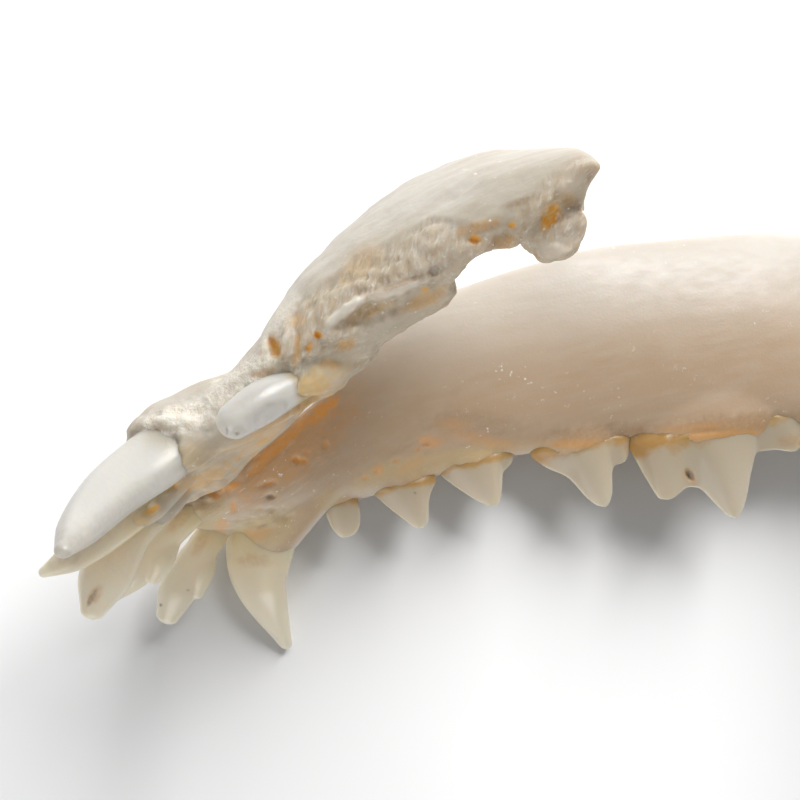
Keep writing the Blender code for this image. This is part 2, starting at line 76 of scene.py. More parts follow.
# The jaw's body and ramus by distance back from the incisors, one column for each station: height and
# side of the crest and of the lower border, and half the thickness at the top, middle and bottom.
STATION = [-3, 0, 5, 10, 16, 22, 27, 33, 45, 62, 78, 92, 105, 114, 122, 129, 136, 142, 148, 151]
CREST_Z = [2.0, 3.2, 3.9, 4.2, 3.0, 2.0, 1.4, 0.5, -0.6, 0.1, 1.6, 3.2, 6.5, 18, 31, 39, 41.5, 38, 25, 10]
LOWER_Z = [1.0, -0.2, -2.2, -3.8, -5.4, -8.2, -13, -18.4, -24.6, -26, -27.6, -28, -27, -25.5, -23.5, -21,
           -18.5, -16, -13, -7]
CREST_Y = [5, 6.6, 8.8, 10.6, 13.0, 15.6, 17.4, 18.8, 20.8, 24.2, 27.4, 29.8, 32.4, 35.0, 36.8, 38.2, 39.2,
           40.0, 40.8, 41.6]
LOWER_Y = [4.4, 5, 5.6, 6, 6.2, 6.8, 8.4, 9, 10, 11.2, 17, 22.4, 27.6, 31, 34, 36.4, 38.4, 39.6, 40.6, 41.6]
HALF_TOP = [3.8, 6, 7.8, 8.6, 7.2, 6.0, 5.6, 5.5, 5.3, 5.6, 6.0, 5.6, 4.2, 2.8, 1.9, 1.6, 1.5, 1.5, 1.7, 2.2]
HALF_MID = [3.8, 6.2, 8.2, 8.8, 7.6, 6.6, 6.4, 6.2, 5.9, 6.1, 6.4, 6.0, 4.9, 3.9, 3.2, 2.8, 2.6, 2.7, 2.9,
            3.2]
HALF_LOW = [3.4, 4.8, 6.0, 6.2, 5.8, 5.6, 5.6, 5.5, 5.3, 5.4, 5.6, 5.2, 4.7, 4.2, 3.7, 3.2, 2.9, 2.8, 2.7,
            2.5]
# How square its sections are: 2 would be an ellipse.
SQUARENESS = 2.5
# The right half's lower border rises from here on towards the break.
WEAR_FROM = 46.0
WEAR_RISE = 0.00364
WEAR_POWER = 2.69
# The lower border is deeper below the second premolar.
KEEL = 1.9
LEFT_KEEL = 1.8
KEEL_AT = 27.0
KEEL_REACH = 18.0
# The right half's inner tooth wall is this much stouter.
INNER_WALL = 2.6
INNER_FROM = 13
INNER_OVER = 9

# Cheek teeth, front to back: place of the neck, lean of the tip, half width, root depth, profile.
CHEEK_TEETH = [
    ((20.8, 16.8, 2.0), (0.0, 0.30, 1), 2.2, 6,
     [(-3.0, 0.4), (-2.8, 2.3), (-2.3, 4.2), (-1.0, 5.4), (0.4, 5.2), (1.6, 4.2), (2.2, 2.4), (2.4, 0.4)]),
    ((29.7, 18.9, 0.8), (0.0, 0.34, 1), 2.3, 7,
     [(-4.6, 0.4), (-2.5, 3.2), (-0.5, 5.5), (0.8, 6.8), (1.8, 7.0), (2.8, 6.3), (3.6, 3.6), (4.3, 2.0),
      (5.6, 0.4)]),
    ((41.4, 21.0, -0.9), (0.0, 0.32, 1), 2.7, 8,
     [(-6.2, 0.4), (-5.4, 1.4), (-2.2, 5.0), (-0.4, 6.6), (0.8, 7.3), (2.0, 7.3), (3.2, 4.9), (4.0, 2.6),
      (5.4, 1.6), (6.4, 0.4)]),
    ((57.6, 24.0, -0.1), (0.0, 0.32, 1), 3.3, 9,
     [(-7.6, 0.4), (-5.8, 2.3), (-3.0, 4.4), (-0.6, 8.5), (0.6, 9.6), (1.5, 9.8), (2.9, 8.2), (4.0, 4.6),
      (4.8, 3.8), (6.2, 3.6), (7.4, 2.2), (8.4, 0.4)]),
    ((77.0, 27.7, 1.3), (0.0, 0.32, 1), 4.3, 11,
     [(-12.2, 0.5), (-11.0, 5.6), (-9.9, 8.8), (-8.4, 9.1), (-5.1, 7.8), (-3.5, 8.3), (-2.1, 10.6),
      (-0.5, 13.2), (0.4, 13.7), (1.3, 13.2), (2.9, 11.0), (4.9, 7.2), (6.9, 4.4), (9.5, 4.6), (12.4, 5.4),
      (14.0, 4.2), (15.2, 0.6)]),
    ((97.4, 31.0, 3.6), (0.0, 0.25, 1), 3.6, 7,
     [(-5.0, 0.5), (-3.8, 3.6), (-2.2, 4.8), (-0.4, 3.3), (1.8, 3.8), (3.6, 3.2), (5.0, 0.4)]),
    ((105.6, 32.6, 5.8), (0.0, 0.2, 1), 2.4, 6, [(-2.6, 0.4), (-1.3, 2.4), (0, 3.0), (1.5, 2.2), (2.6, 0.4)]),
]
# The right half's last cheek tooth has slipped forwards onto a ledge of bone.
SLIPPED_TOOTH = [(30.0, 14.7, -2.6), (27.5, 16.1, -0.7), (25.2, 17.6, 0.7), (22.7, 19.0, 2.3),
                 (19.7, 20.4, 4.5)]
SLIPPED_HALF = [1.3, 1.8, 2.2, 2.5, 2.1]
SLIPPED_NECK = (26.1, 17.0, 0.3)
SLIPPED_TIP = (22.9, 18.8, 2.2)
LEDGE = [(35.1, 12.8, -5.0), (31.4, 13.5, -2.8), (29.0, 14.0, -1.0), (24.8, 14.7, 0.8), (20.3, 14.7, 2.1),
         (15.6, 14.6, 3.2)]
LEDGE_HALF = [1.6, 1.8, 1.8, 1.8, 1.8, 1.5]
# Clear dried matter holds the slipped tooth's root to the bone.
GLUE = [(32.0, 15.2, -2.6), (29.8, 16.8, -0.7), (27.4, 18.0, 0.7), (25.9, 18.6, 1.4)]
GLUE_HALF = [1.6, 2.2, 1.7, 1.0]
# How far the bone covers the incisors' roots, as a share of the step to the next point of their line.
ROOT_COVER = {"left": 0.35, "right": 0.6}
ROOT_BONE = 0.6
# Incisors: line from root to tip, half sizes along ACROSS and the other way, and how far the side cusp's
# tip is from the line's fourth point.
ACROSS = (0.9, -0.25, 0.35)
INCISORS_LEFT = [
    ([(11, -3.2, -1.5), (5.2, -2.6, 2.4), (-1.5, -3.4, 6.2), (-6.4, -4.2, 9.4), (-10.2, -4.6, 11.6)],
     [1.3, 1.9, 1.9, 2.2, 1.2], [1.1, 1.7, 1.8, 1.9, 0.9], (2.0, -0.4, 1.4)),
    ([(7.9, -11.2, -1.8), (3.0, -12.4, 1.5), (-1.0, -13.6, 4.9), (-5.8, -15.2, 9.3), (-8.6, -16.3, 13.0)],
     [1.3, 2.2, 2.5, 3.0, 1.8], [1.1, 1.9, 2.2, 2.5, 1.2], (2.4, -0.6, 1.5)),
]
INCISORS_RIGHT = [
    ([(8.0, 5.0, 0), (3.4, 5.8, 4.0), (-1.4, 6.2, 8.6), (-4.8, 6.2, 13.0), (-6.8, 6.0, 17.0)],
     [1.3, 2.3, 2.6, 3.4, 1.6], [1.1, 1.9, 2.2, 2.4, 1.1], None),
    ([(9.0, 9.7, 2.3), (3.7, 10.2, 6.3), (-0.8, 11.5, 9.5), (-4.8, 13.0, 12.2), (-7.9, 14.3, 13.8)],
     [1.5, 2.1, 2.2, 1.9, 0.7], [1.3, 1.8, 1.9, 1.6, 0.6], None),
]
CANINE_LINE = [(27, 10.6, -4.6), (18.0, 12.8, -1.6), (8.0, 16.2, 3.0), (4.9, 20.6, 10.4), (5.3, 28.4, 18.2)]
CANINE_LONG = [1.6, 3.8, 6.3, 5.1, 1.1]
CANINE_WIDE = [1.2, 2.3, 3.1, 2.8, 0.9]
RIGHT_CANINE_LINE = [(27, 10.6, -4.6), (18.0, 12.8, -1.6), (8.5, 15.8, 3.6), (4.9, 21.1, 9.6),
                     (4.1, 25.0, 14.4), (4.7, 28.5, 18.3)]
RIGHT_CANINE_LONG = [1.6, 3.6, 4.3, 3.3, 2.3, 0.9]
RIGHT_CANINE_WIDE = [1.2, 2.3, 3.1, 2.8, 2.1, 0.8]
CANINE_RIDGES = [(110, 0.10, 16), (250, 0.10, 18), (60, -0.05, 24), (160, -0.04, 24)]
CANINE_NECK = {"left": (10.5, 15.2, 1.6), "right": (14.5, 13.8, -0.4)}
# The bone's swelling over the canine's root, which ends short of the neck.
SWELL_LINE = [(26, 11, -4.2), (18.5, 12.8, -1.6), (10.4, 15.2, 1.4), (8.2, 16.0, 2.6)]
SWELL_LONG = [2.6, 4.8, 6.3, 6.4]
SWELL_WIDE = [2.2, 3.3, 3.8, 3.7]
RIGHT_SWELL_LONG = [2.6, 4.7, 5.5, 4.9]
# Hinge end of the left half. Each is a line, two rows of half sizes and the way that the first row lies.
HINGE_NECK = ([(141, 39.8, 2), (147, 40.8, 4.5), (152.5, 41.8, 6.2)], [5.5, 4.8, 3.8], [2.4, 2.9, 3.6],
              (0, 0, 1))
HINGE = ([(154, 30.8, 4.0), (154.5, 34.4, 5.0), (155, 42.4, 6.2), (155.5, 50.4, 6.8), (155.2, 54, 6.2)],
         [1.4, 3.4, 4.0, 3.8, 1.5], [1.2, 3.0, 3.7, 3.3, 1.2], (1, 0, 0))
ANGLE = ([(130, 37.2, -13.4), (139, 38.7, -13.2), (148, 40.4, -13.4), (157, 41.6, -12.2), (163, 42, -9.6)],
         [2.0, 4.4, 4.4, 3.0, 1.2], [0.8, 2.1, 2.5, 2.0, 1.0], (0, 0, 1))
MUSCLE_HOLLOW = ([(112, 41.0, 0), (120, 42.9, 6), (130, 44.1, 12), (138, 44.3, 20)],
                 [3, 11, 13, 5], [1.2, 3.6, 4.0, 1.8], (0, 0, 1))
# Each half ends this far from the middle.
MIDDLE = 0.17
# The broken end is open: a trough behind these walls, between these two distances.
OUTER_WALL = 3.6
LOWER_WALL = 4.5
TROUGH = (48.0, 80)
BREAK_AT = (58.2, 29.0, -5.4)
BREAK_TURN = (0, -68.4, -4.5)
# The splintered tip: outlines that are cut away, seen along TIP_WAY.
TIP_EDGES = [
    [(62.6, -16.9), (78.2, -10.1), (76.3, -5.6), (65.3, -10.2), (64.6, -12.1), (63.7, -13.5), (62.1, -14.9)],
    [(65.4, -10.3), (76.3, -5.9), (73.0, 8.0), (59.8, 3.6), (61.3, -1.8), (61.5, -3.7), (62.1, -6.1),
     (63.3, -8.3)],
]
TIP_WAY = (0.170, -0.805, -0.686)
# A stump of the wall between two sockets at the splinter's inner side.
STUMP = [(57.9, 23.2, -9.8), (58.5, 23.6, -6.3), (58.5, 23.2, -3.9)]
STUMP_HALF = [3.6, 3.8, 2.6]
# The crest is lost here down to a slope: the slope's edge as (along, height) and the way it falls.
LOST_CREST = [(60.6, 14), (60.3, 0.5), (57.5, -0.3), (55.5, -1.9), (52.5, -3.7), (50.5, -3.9), (49.2, -3.5),
              (48.0, -2.0), (46.8, 0.2), (44.6, 2.4), (43.6, 14)]
LOST_AT = 26.0
LOST_SLOPE = (0.03, -0.82, -0.61)
# The right half's outer wall is broken away towards the teeth from this line on.
WALL_X = [21.0, 24.4, 27.3, 29.4, 33.6, 36.5, 42.7, 46.5, 49.5, 51.3, 54.4, 58.0, 62.0]
WALL_Z = [1.0, -4.0, -6.2, -8.3, -8.9, -10.5, -10.5, -11.2, -7.8, -6.2, -6.2, -7.6, -9.5]
# What is left above it lies this much deeper, unevenly.
WALL_LOST = 0.35
WALL_UNEVEN = 0.25
# Noise that roughens bone: depth in mm, size in mm, seed.
BREAK_LUMPS = ((0.30, 1.3, 5), (0.35, 3.2, 6))
CRUST_LUMPS = ((0.6, 0.9, 7), (0.5, 2.0, 8))
CHIN_LUMPS = ((0.5, 1.3, 9), (0.5, 2.8, 10))

# Marks that are placed by the photograph. Each is (u, v) of its middle in pixels, then its half length
# and half width in mm, its turn in degrees from level, and its strength: a depth in mm, or a share.
RIGHT_DENTS = [
    (275, 347, 1.7, 0.85, -69, 1.27), (296, 342, 3.0, 0.9, 82, 0.52), (318, 335, 0.65, 0.55, 0, 0.9),
    (309, 348, 0.95, 0.5, 75, 0.83), (368, 314, 4.8, 1.4, 20, 1.0), (425, 293, 3.9, 1.1, 27, 0.52),
    (436, 270, 1.3, 0.5, 15, 0.8), (475, 239, 0.8, 0.55, -5, 0.98), (512, 225, 0.4, 0.45, 0, 0.75),
    (425, 290, 0.45, 0.4, 0, 0.38), (552, 214, 2.4, 1.2, 60, 1.0), (572, 208, 1.2, 1.3, 60, 0.6),
    (347, 345, 1.5, 0.8, 20, 0.34), (331, 364, 1.5, 0.6, -12, 0.3), (455, 192, 6.5, 0.6, 35, 0.26),
    (454, 197, 0.35, 0.3, 0, 0.45), (263, 374, 1.9, 0.7, 15, 0.52), (207, 428, 1.2, 0.7, -50, 0.45),
    (500, 243, 1.2, 0.7, 30, 0.38), (575, 205, 1.2, 1.0, 60, 0.45)]
RIGHT_RIDGES = [
    (345, 311, 3.2, 0.8, 36, 1.1), (396, 290, 4.0, 0.7, 17, 0.7), (345, 333, 3.4, 0.5, 12, 0.25),
    (285, 340, 2.4, 0.3, 80, 0.35), (185, 421, 3.4, 0.9, -8, 0.5), (552, 252, 2.2, 1.1, -5, 0.35),
    (570, 186, 1.4, 0.7, 25, 0.3)]
# Stains: amber in thin greasy bone, made brighter and given a faint glow as painted light coming
# through it, chalky crusts, and grey holes.
RIGHT_AMBER = [
    (275, 347, 1.6, 0.8, -69, 0.9), (318, 335, 0.6, 0.5, 0, 1.0), (309, 348, 0.8, 0.45, 75, 0.9),
    (297, 350, 2.4, 0.6, 82, 0.5), (298, 321, 1.3, 1.0, 0, 0.35), (347, 345, 1.5, 0.8, 20, 0.6),
    (331, 364, 1.5, 0.6, -12, 0.5), (425, 290, 0.45, 0.4, 0, 0.9), (425, 300, 3.2, 1.0, 27, 0.4),
    (475, 239, 0.8, 0.6, -5, 1.2), (512, 225, 0.4, 0.45, 0, 1.0), (551, 216, 2.0, 1.0, 60, 1.0),
    (265, 373, 1.8, 0.6, 15, 0.4), (480, 225, 3.0, 0.8, 15, 0.3), (505, 243, 1.5, 1.0, 10, 0.3),
    (370, 312, 3.6, 0.9, 20, 0.25), (568, 200, 1.2, 1.0, 40, 0.35), (360, 262, 3.5, 1.8, 50, 0.2)]
RIGHT_CRUST = [(182, 421, 4.4, 1.6, 10, 1.0), (236, 388, 4.6, 1.2, 30, 0.8), (150, 425, 2.0, 0.9, 30, 0.7)]
# Rough bone with lumps of a millimetre or two, at the chin.
CHIN_ROUGH = [
    (205, 498, 6.0, 2.6, 40, 1.0), (150, 502, 5.0, 2.0, 38, 1.0), (262, 518, 5.0, 1.6, 10, 0.8),
    (235, 470, 5.0, 2.2, 40, 0.7), (205, 468, 5.0, 1.4, 28, 0.5)]
# The right half is smooth here.
RIGHT_SMOOTH = [
    (575, 195, 1.6, 3.0, 20, 0.8), (490, 222, 5.5, 1.5, 8, 0.7), (345, 311, 3.4, 1.0, 36, 1.0),
    (396, 290, 4.4, 1.0, 17, 0.9), (400, 318, 8.0, 2.4, 33, 0.85), (330, 375, 5.0, 2.6, 40, 0.85),
    (553, 250, 2.4, 1.3, 0, 0.8)]
RIGHT_GREY = [
    (438, 268, 1.3, 0.5, 15, 0.25), (570, 205, 1.5, 1.2, 50, 0.3), (575, 225, 1.0, 2.0, 0, 0.18),
    (234, 383, 0.8, 0.5, 30, 0.3), (160, 413, 0.6, 0.4, 45, 0.54), (205, 432, 0.9, 0.5, -50, 0.36),
    (452, 228, 0.3, 0.2, 0, 0.48), (345, 352, 2.4, 1.2, 20, 0.12)]
# The broadest chin mark is painted light, lifting the chin where the other half shades it.
CHIN_AMBER = [
    (322, 411, 4.2, 1.2, 42, 1.0), (263, 463, 4.6, 1.0, 41, 0.8), (267, 441, 2.2, 0.6, 22, 0.7),
    (213, 494, 1.2, 0.5, -20, 0.9), (233, 507, 0.5, 1.1, 0, 0.8), (222, 525, 1.6, 1.0, 45, 0.5),
    (295, 460, 1.0, 0.8, 0, 1.3), (303, 461, 0.65, 0.55, 0, 1.2), (306, 453, 0.55, 0.4, 0, 1.1),
    (256, 454, 0.9, 0.6, 40, 0.8), (241, 459, 0.5, 0.3, 30, 0.7), (234, 470, 0.8, 0.4, 20, 0.7),
    (268, 484, 1.3, 0.5, 15, 0.8), (325, 445, 0.5, 0.9, 0, 0.7), (334, 416, 0.7, 0.5, 0, 0.6),
    (173, 486, 1.3, 0.4, 30, 0.9), (153, 509, 1.3, 0.5, 30, 0.9), (250, 535, 4.5, 1.3, 12, 0.35),
    (212, 540, 1.4, 1.6, 50, 0.4), (365, 478, 0.7, 0.5, 0, 0.6), (378, 470, 1.2, 0.9, 30, 0.5),
    (125, 530, 3.5, 1.4, 25, 0.35), (290, 445, 14.0, 5.5, 40, 0.42), (285, 440, 10.0, 1.1, 42, 0.9),
    (230, 487, 2.6, 0.7, 20, 0.9), (260, 450, 5.0, 1.2, 38, 0.5), (205, 480, 4.5, 1.3, 25, 0.45)]
CHIN_DENTS = [
    (295, 460, 0.8, 0.65, 0, 0.54), (303, 461, 0.5, 0.4, 0, 0.42), (306, 453, 0.4, 0.3, 0, 0.36),
    (256, 454, 0.9, 0.6, 40, 0.3), (241, 459, 0.5, 0.3, 30, 0.24), (234, 470, 0.8, 0.4, 20, 0.24),
    (268, 484, 1.3, 0.5, 15, 0.48), (270, 496, 0.9, 0.45, 5, 0.6), (325, 445, 0.5, 0.9, 0, 0.24),
    (233, 507, 0.5, 1.1, 0, 0.36), (213, 494, 1.0, 0.4, -20, 0.24), (264, 463, 5.2, 0.7, 41, 0.3),
    (322, 411, 4.0, 0.8, 42, 0.24), (173, 486, 1.3, 0.4, 30, 0.3), (153, 509, 1.3, 0.5, 30, 0.3),
    (262, 525, 1.2, 0.4, 20, 0.24), (365, 478, 0.7, 0.5, 0, 0.24), (408, 440, 1.3, 0.4, 25, 0.24)]
CHIN_GREY = [
    (270, 497, 0.9, 0.4, 5, 0.48), (262, 526, 1.0, 0.3, 20, 0.3), (324, 438, 0.6, 0.3, 0, 0.24),
    (287, 451, 0.3, 0.3, 0, 0.3), (427, 429, 0.9, 0.4, 5, 0.12)]
# Painted shade in brown: along the left half's crest, where little light falls, and in grooves.
BROWN_SHADE = [
    (600, 436, 10.0, 2.2, 2, 0.5), (745, 424, 12.0, 2.0, 3, 0.55), (480, 425, 10.0, 2.6, -5, 0.3),
    (478, 229, 3.4, 0.7, 10, 0.6), (500, 241, 1.8, 1.0, 20, 0.6), (520, 202, 2.6, 0.5, 14, 0.5),
    (400, 284, 3.6, 0.4, 20, 0.6), (572, 205, 1.0, 1.4, 50, 0.6), (410, 308, 4.0, 0.9, 22, 0.35)]
CREST_PALE = [(427, 428, 1.6, 0.9, 5, 0.8), (372, 440, 2.6, 0.5, 25, 0.5)]
CREST_DENTS = [
    (425, 445, 0.9, 0.4, 10, 0.4), (417, 450, 0.7, 0.35, 30, 0.4), (396, 461, 0.7, 0.35, 30, 0.35),
    (376, 471, 0.6, 0.3, 30, 0.3), (690, 433, 6.0, 0.4, 4, 0.25), (405, 447, 3.2, 0.35, 28, 0.25)]
# Thin bone that is clear and yellow as honey with old grease.
HONEY = [
    (450, 462, 14.0, 2.4, 10, 0.8), (380, 475, 6.0, 2.0, 25, 0.7), (560, 448, 10.0, 2.0, 0, 0.35),
    (720, 433, 14.0, 1.6, 3, 0.2), (262, 532, 8.0, 3.6, 20, 0.85), (205, 520, 5.0, 3.0, 45, 0.7),
    (310, 386, 3.8, 2.4, 35, 1.0), (340, 366, 3.0, 1.4, 20, 0.4), (130, 520, 6.0, 2.4, 32, 0.6),
    (185, 455, 2.0, 2.6, 60, 0.45), (330, 500, 3.0, 2.0, 20, 0.6)]
CREST_AMBER = [
    (720, 436, 13, 1.0, 2, 0.4), (580, 444, 7, 0.8, 0, 0.3), (480, 440, 6, 1.2, -12, 0.27),
    (430, 442, 2.2, 1.2, 0, 0.48), (410, 465, 3.0, 1.0, 30, 0.24), (690, 428, 6, 0.8, 5, 0.24),
    (350, 500, 3.0, 1.0, 15, 0.18), (425, 443, 0.9, 0.5, 10, 0.6), (417, 450, 0.7, 0.4, 30, 0.54),
    (396, 461, 0.7, 0.4, 30, 0.48), (376, 471, 0.6, 0.35, 30, 0.48), (365, 478, 0.5, 0.35, 0, 0.48),
    (455, 425, 3.0, 1.2, -5, 0.24)]
# The canine's crown comes out of the bone here.
CANINE_MOUTH = [(127, 475, 7.4, 4.2, 42, 1.3)]
# The crusted front edge of the broken wall, and threads of inner bone at the chin.
FRONT_EDGE = [(178, 418, 5.5, 2.0, 18, 1.0), (238, 382, 6.0, 2.2, 34, 0.9), (275, 325, 5.0, 1.6, 60, 0.5)]
FRONT_THREADS = [(195, 470, 7.0, 3.6, 28, 1.0), (250, 435, 6.0, 1.6, 30, 0.8), (130, 520, 5.0, 2.0, 30, 0.8)]
# On the teeth.
MOLAR_PIT = [(690, 475, 1.1, 0.7, -50, 0.6)]
SLIPPED_DENTS = [(268, 413, 3.2, 1.0, 28, 0.5), (240, 432, 1.0, 0.8, 0, 0.15)]
TOOTH_AMBER = [
    (690, 476, 1.7, 1.1, -50, 0.55), (630, 445, 2.5, 1.2, 10, 0.35), (800, 440, 4, 1.2, 5, 0.4),
    (440, 455, 2, 1.0, 10, 0.4), (180, 520, 3.0, 1.0, 45, 0.3), (200, 545, 2.5, 1.0, 60, 0.3),
    (255, 560, 3.0, 1.2, 0, 0.3), (95, 595, 1.6, 0.8, 60, 0.45), (350, 503, 2.0, 0.8, 0, 0.3)]
# Grey specks, and a long faint grey stripe down the right canine's lower side, which is painted shade.
TOOTH_SPECKS_AND_SHADE = [
    (690, 475, 0.8, 0.5, -50, 0.9), (415, 493, 0.25, 0.25, 0, 0.7), (161, 605, 0.3, 0.25, 0, 0.8),
    (92, 598, 1.6, 0.35, 60, 0.5), (227, 431, 0.15, 0.6, 0, 0.5), (237, 434, 0.25, 0.2, 0, 0.8),
    (188, 590, 0.3, 0.2, 0, 0.4), (120, 512, 9.0, 1.5, 38, 0.14), (64, 548, 3.2, 2.2, 40, 0.28)]


def smooth_curve(xs, ys):
    """A curve through the stations that never overshoots them."""
    xs = np.asarray(xs, float)
    ys = np.asarray(ys, float)
    h = np.diff(xs)
    d = np.diff(ys) / h
    m = np.zeros_like(ys)
    for i in range(1, len(xs) - 1):
        if d[i - 1] * d[i] > 0:
            w1 = 2 * h[i] + h[i - 1]
            w2 = h[i] + 2 * h[i - 1]
            m[i] = (w1 + w2) / (w1 / d[i - 1] + w2 / d[i])
    m[0] = d[0]
    m[-1] = d[-1]

    def value(x):
        i = int(np.clip(np.searchsorted(xs, x) - 1, 0, len(h) - 1))
        t = (x - xs[i]) / h[i]
        a = (1 + 2 * t) * (1 - t) ** 2
        b = t * (1 - t) ** 2
        c = t * t * (3 - 2 * t)
        e = t * t * (t - 1)
        return a * ys[i] + b * h[i] * m[i] + c * ys[i + 1] + e * h[i] * m[i + 1]
    return value


crest_z, lower_z, crest_y, lower_y, half_top, half_mid, half_low = (
    smooth_curve(STATION, column)
    for column in (CREST_Z, LOWER_Z, CREST_Y, LOWER_Y, HALF_TOP, HALF_MID, HALF_LOW))


def body_ring(x, count, wear=0.0, stout=0.0, keel=0.0):
    """One upright section of the jaw at x: a rounded bar that leans in at its lower border."""
    ring = []
    rise = min(max((x - INNER_FROM) / INNER_OVER, 0), 1)
    extra = stout * rise * rise * (3 - 2 * rise)
    low_z = lower_z(x) + wear * max(x - WEAR_FROM, 0) ** WEAR_POWER
    away = min(abs(x - KEEL_AT) / KEEL_REACH, 1)
    low_z -= keel * math.cos(away * math.pi / 2) ** 2
    for k in range(count):
        a = 2 * math.pi * k / count
        s = math.copysign(abs(math.sin(a)) ** (2 / SQUARENESS), math.sin(a))
        c = math.copysign(abs(math.cos(a)) ** (2 / SQUARENESS), math.cos(a))
        u = 0.5 * (1 + s)
        if s > 0:
            half = half_mid(x) + (half_top(x) - half_mid(x)) * s
        else:
            half = half_mid(x) + (half_mid(x) - half_low(x)) * s
        inner = max(-c, 0) * max(s + 0.5, 0) / 1.5
        y = lower_y(x) + (crest_y(x) - lower_y(x)) * u + c * half - extra * inner
        z = low_z + (crest_z(x) - low_z) * u + 0.5 * extra * inner
        ring.append(Vector((x, y, z)))
    return ring


def loft(rings):
    """Closed surface over rings of equal count, with a fan at each end."""
    bm = bmesh.new()
    rows = [[bm.verts.new(p) for p in ring] for ring in rings]
    count = len(rings[0])
    for a, b in zip(rows, rows[1:]):
        for k in range(count):
            j = (k + 1) % count
            bm.faces.new((a[k], a[j], b[j], b[k]))
    for row, flip in ((rows[0], True), (rows[-1], False)):
        hub = bm.verts.new(sum((v.co for v in row), Vector()) / count)
        for k in range(count):
            j = (k + 1) % count
            if flip:
                bm.faces.new((row[j], row[k], hub))
            else:
                bm.faces.new((row[k], row[j], hub))
    bmesh.ops.recalc_face_normals(bm, faces=bm.faces[:])
    if bm.calc_volume(signed=True) < 0:
        bmesh.ops.reverse_faces(bm, faces=bm.faces[:])
    return bm


def oval(centre, long_dir, wide_dir, long_half, wide_half, count, ridges=()):
    """Ring of points on an ellipse, with any ridges standing out of it."""
    ring = []
    for k in range(count):
        a = 2 * math.pi * k / count
        out = 1.0
        for angle, high, spread in ridges:
            off = (math.degrees(a) - angle + 180) % 360 - 180
            out += high * math.exp(-(off / spread) ** 2)
        ring.append(centre + long_dir * (long_half * out * math.cos(a))
                    + wide_dir * (wide_half * out * math.sin(a)))
    return ring


def row_direction(x):
    """Direction of the tooth row at x."""
    return (Vector((x + 4, crest_y(x + 4), 0)) - Vector((x - 4, crest_y(x - 4), 0))).normalized()


def crown(place, lean, half_wid, root, profile, count=40, total=90):
    """A cheek tooth: upright sections along the row, each a narrow oval from root to cutting edge."""
    base = Vector(place)
    along = row_direction(base.x)
    up = Vector(lean).normalized()
    across = up.cross(along).normalized()
    height = smooth_curve([p[0] for p in profile], [p[1] for p in profile])
    first = profile[0][0]
    last = profile[-1][0]
    rings = []
    for i in range(total + 1):
        w = i / total
        s = first + (last - first) * (0.5 - 0.5 * math.cos(math.pi * w)) * 0.998 + 0.01
        edge = abs(2 * (s - first) / (last - first) - 1)
        full = max(1 - edge ** 2.6, 0.02) ** 0.5
        top = height(s)
        low = -root * full
        wide = half_wid * full
        ring = []
        for k in range(count):
            a = 2 * math.pi * k / count
            v = 0.5 * (top + low) + 0.5 * (top - low) * math.sin(a)
            thin = 1 - 0.55 * max(v, 0) / max(top, 0.1) - 0.4 * min(max(-v, 0) / 2.0, 1)
            ring.append(base + along * s + up * v + across * (wide * math.cos(a) * thin))
        rings.append(ring)
    return loft(rings)


def bent_cone(line, longs, wides, row_dir, count=32, steps=12, ridges=()):
    """A curved spike with rounded ends through the points of a line, oval in section.

    Each ridge is (angle in degrees, height as a share of the half size, spread in degrees).
    """
    pts = [Vector(p) for p in line]
    reach = [0.0]
    for a, b in zip(pts, pts[1:]):
        reach.append(reach[-1] + (b - a).length)
    along = [smooth_curve(reach, [p[i] for p in pts]) for i in range(3)]
    long_at = smooth_curve(reach, longs)
    wide_at = smooth_curve(reach, wides)
    total = steps * (len(pts) - 1)
    rings = []
    for i in range(total + 1):
        s = reach[-1] * i / total
        here = Vector((along[0](s), along[1](s), along[2](s)))
        ahead = Vector([f(min(s + 0.2, reach[-1])) for f in along])
        behind = Vector([f(max(s - 0.2, 0)) for f in along])
        axis = (ahead - behind).normalized()
        u = Vector(row_dir) - axis * axis.dot(Vector(row_dir))
        u.normalize()
        v = axis.cross(u)
        if i == 0:
            rings.append(oval(here - axis * (wide_at(s) * 0.7), u, v, long_at(s) * 0.55, wide_at(s) * 0.55,
                              count))
        rings.append(oval(here, u, v, long_at(s), wide_at(s), count, ridges))
        if i == total:
            for out, size in ((0.3, 0.93), (0.55, 0.78), (0.75, 0.56), (0.88, 0.32)):
                tip = here + axis * (wide_at(s) * out)
                rings.append(oval(tip, u, v, long_at(s) * size, wide_at(s) * size, count))
    return loft(rings)


def box(low, high):
    """Closed box between two corners."""
    bm = bmesh.new()
    bmesh.ops.create_cube(bm, size=1.0)
    size = Vector(high) - Vector(low)
    mid = (Vector(high) + Vector(low)) / 2
    for v in bm.verts:
        v.co = Vector((v.co.x * size.x, v.co.y * size.y, v.co.z * size.z)) + mid
    return bm


def prism(outline, level, way, front, back):
    """Closed solid from an outline of (x, z) at y = level, pushed along a sloping way."""
    way = Vector(way).normalized()
    rings = [[Vector((x, level, z)) + way * t for x, z in outline] for t in (front, back)]
    return loft(rings)


def put(bm, name):
    """Turn a bmesh into an object of the scene, and free it."""
    mesh = bpy.data.meshes.new(name)
    bm.to_mesh(mesh)
    bm.free()
    obj = bpy.data.objects.new(name, mesh)
    bpy.context.scene.collection.objects.link(obj)
    return obj


def bake(obj):
    """Apply an object's modifiers."""
    depsgraph = bpy.context.evaluated_depsgraph_get()
    mesh = bpy.data.meshes.new_from_object(obj.evaluated_get(depsgraph))
    obj.modifiers.clear()
    old = obj.data
    obj.data = mesh
    bpy.data.meshes.remove(old)


def merged(blocks):
    """One bmesh from several, each of them freed."""
    whole = bmesh.new()
    for block in blocks:
        step = bpy.data.meshes.new("step")
        block.to_mesh(step)
        block.free()
        whole.from_mesh(step)
        bpy.data.meshes.remove(step)
    return whole


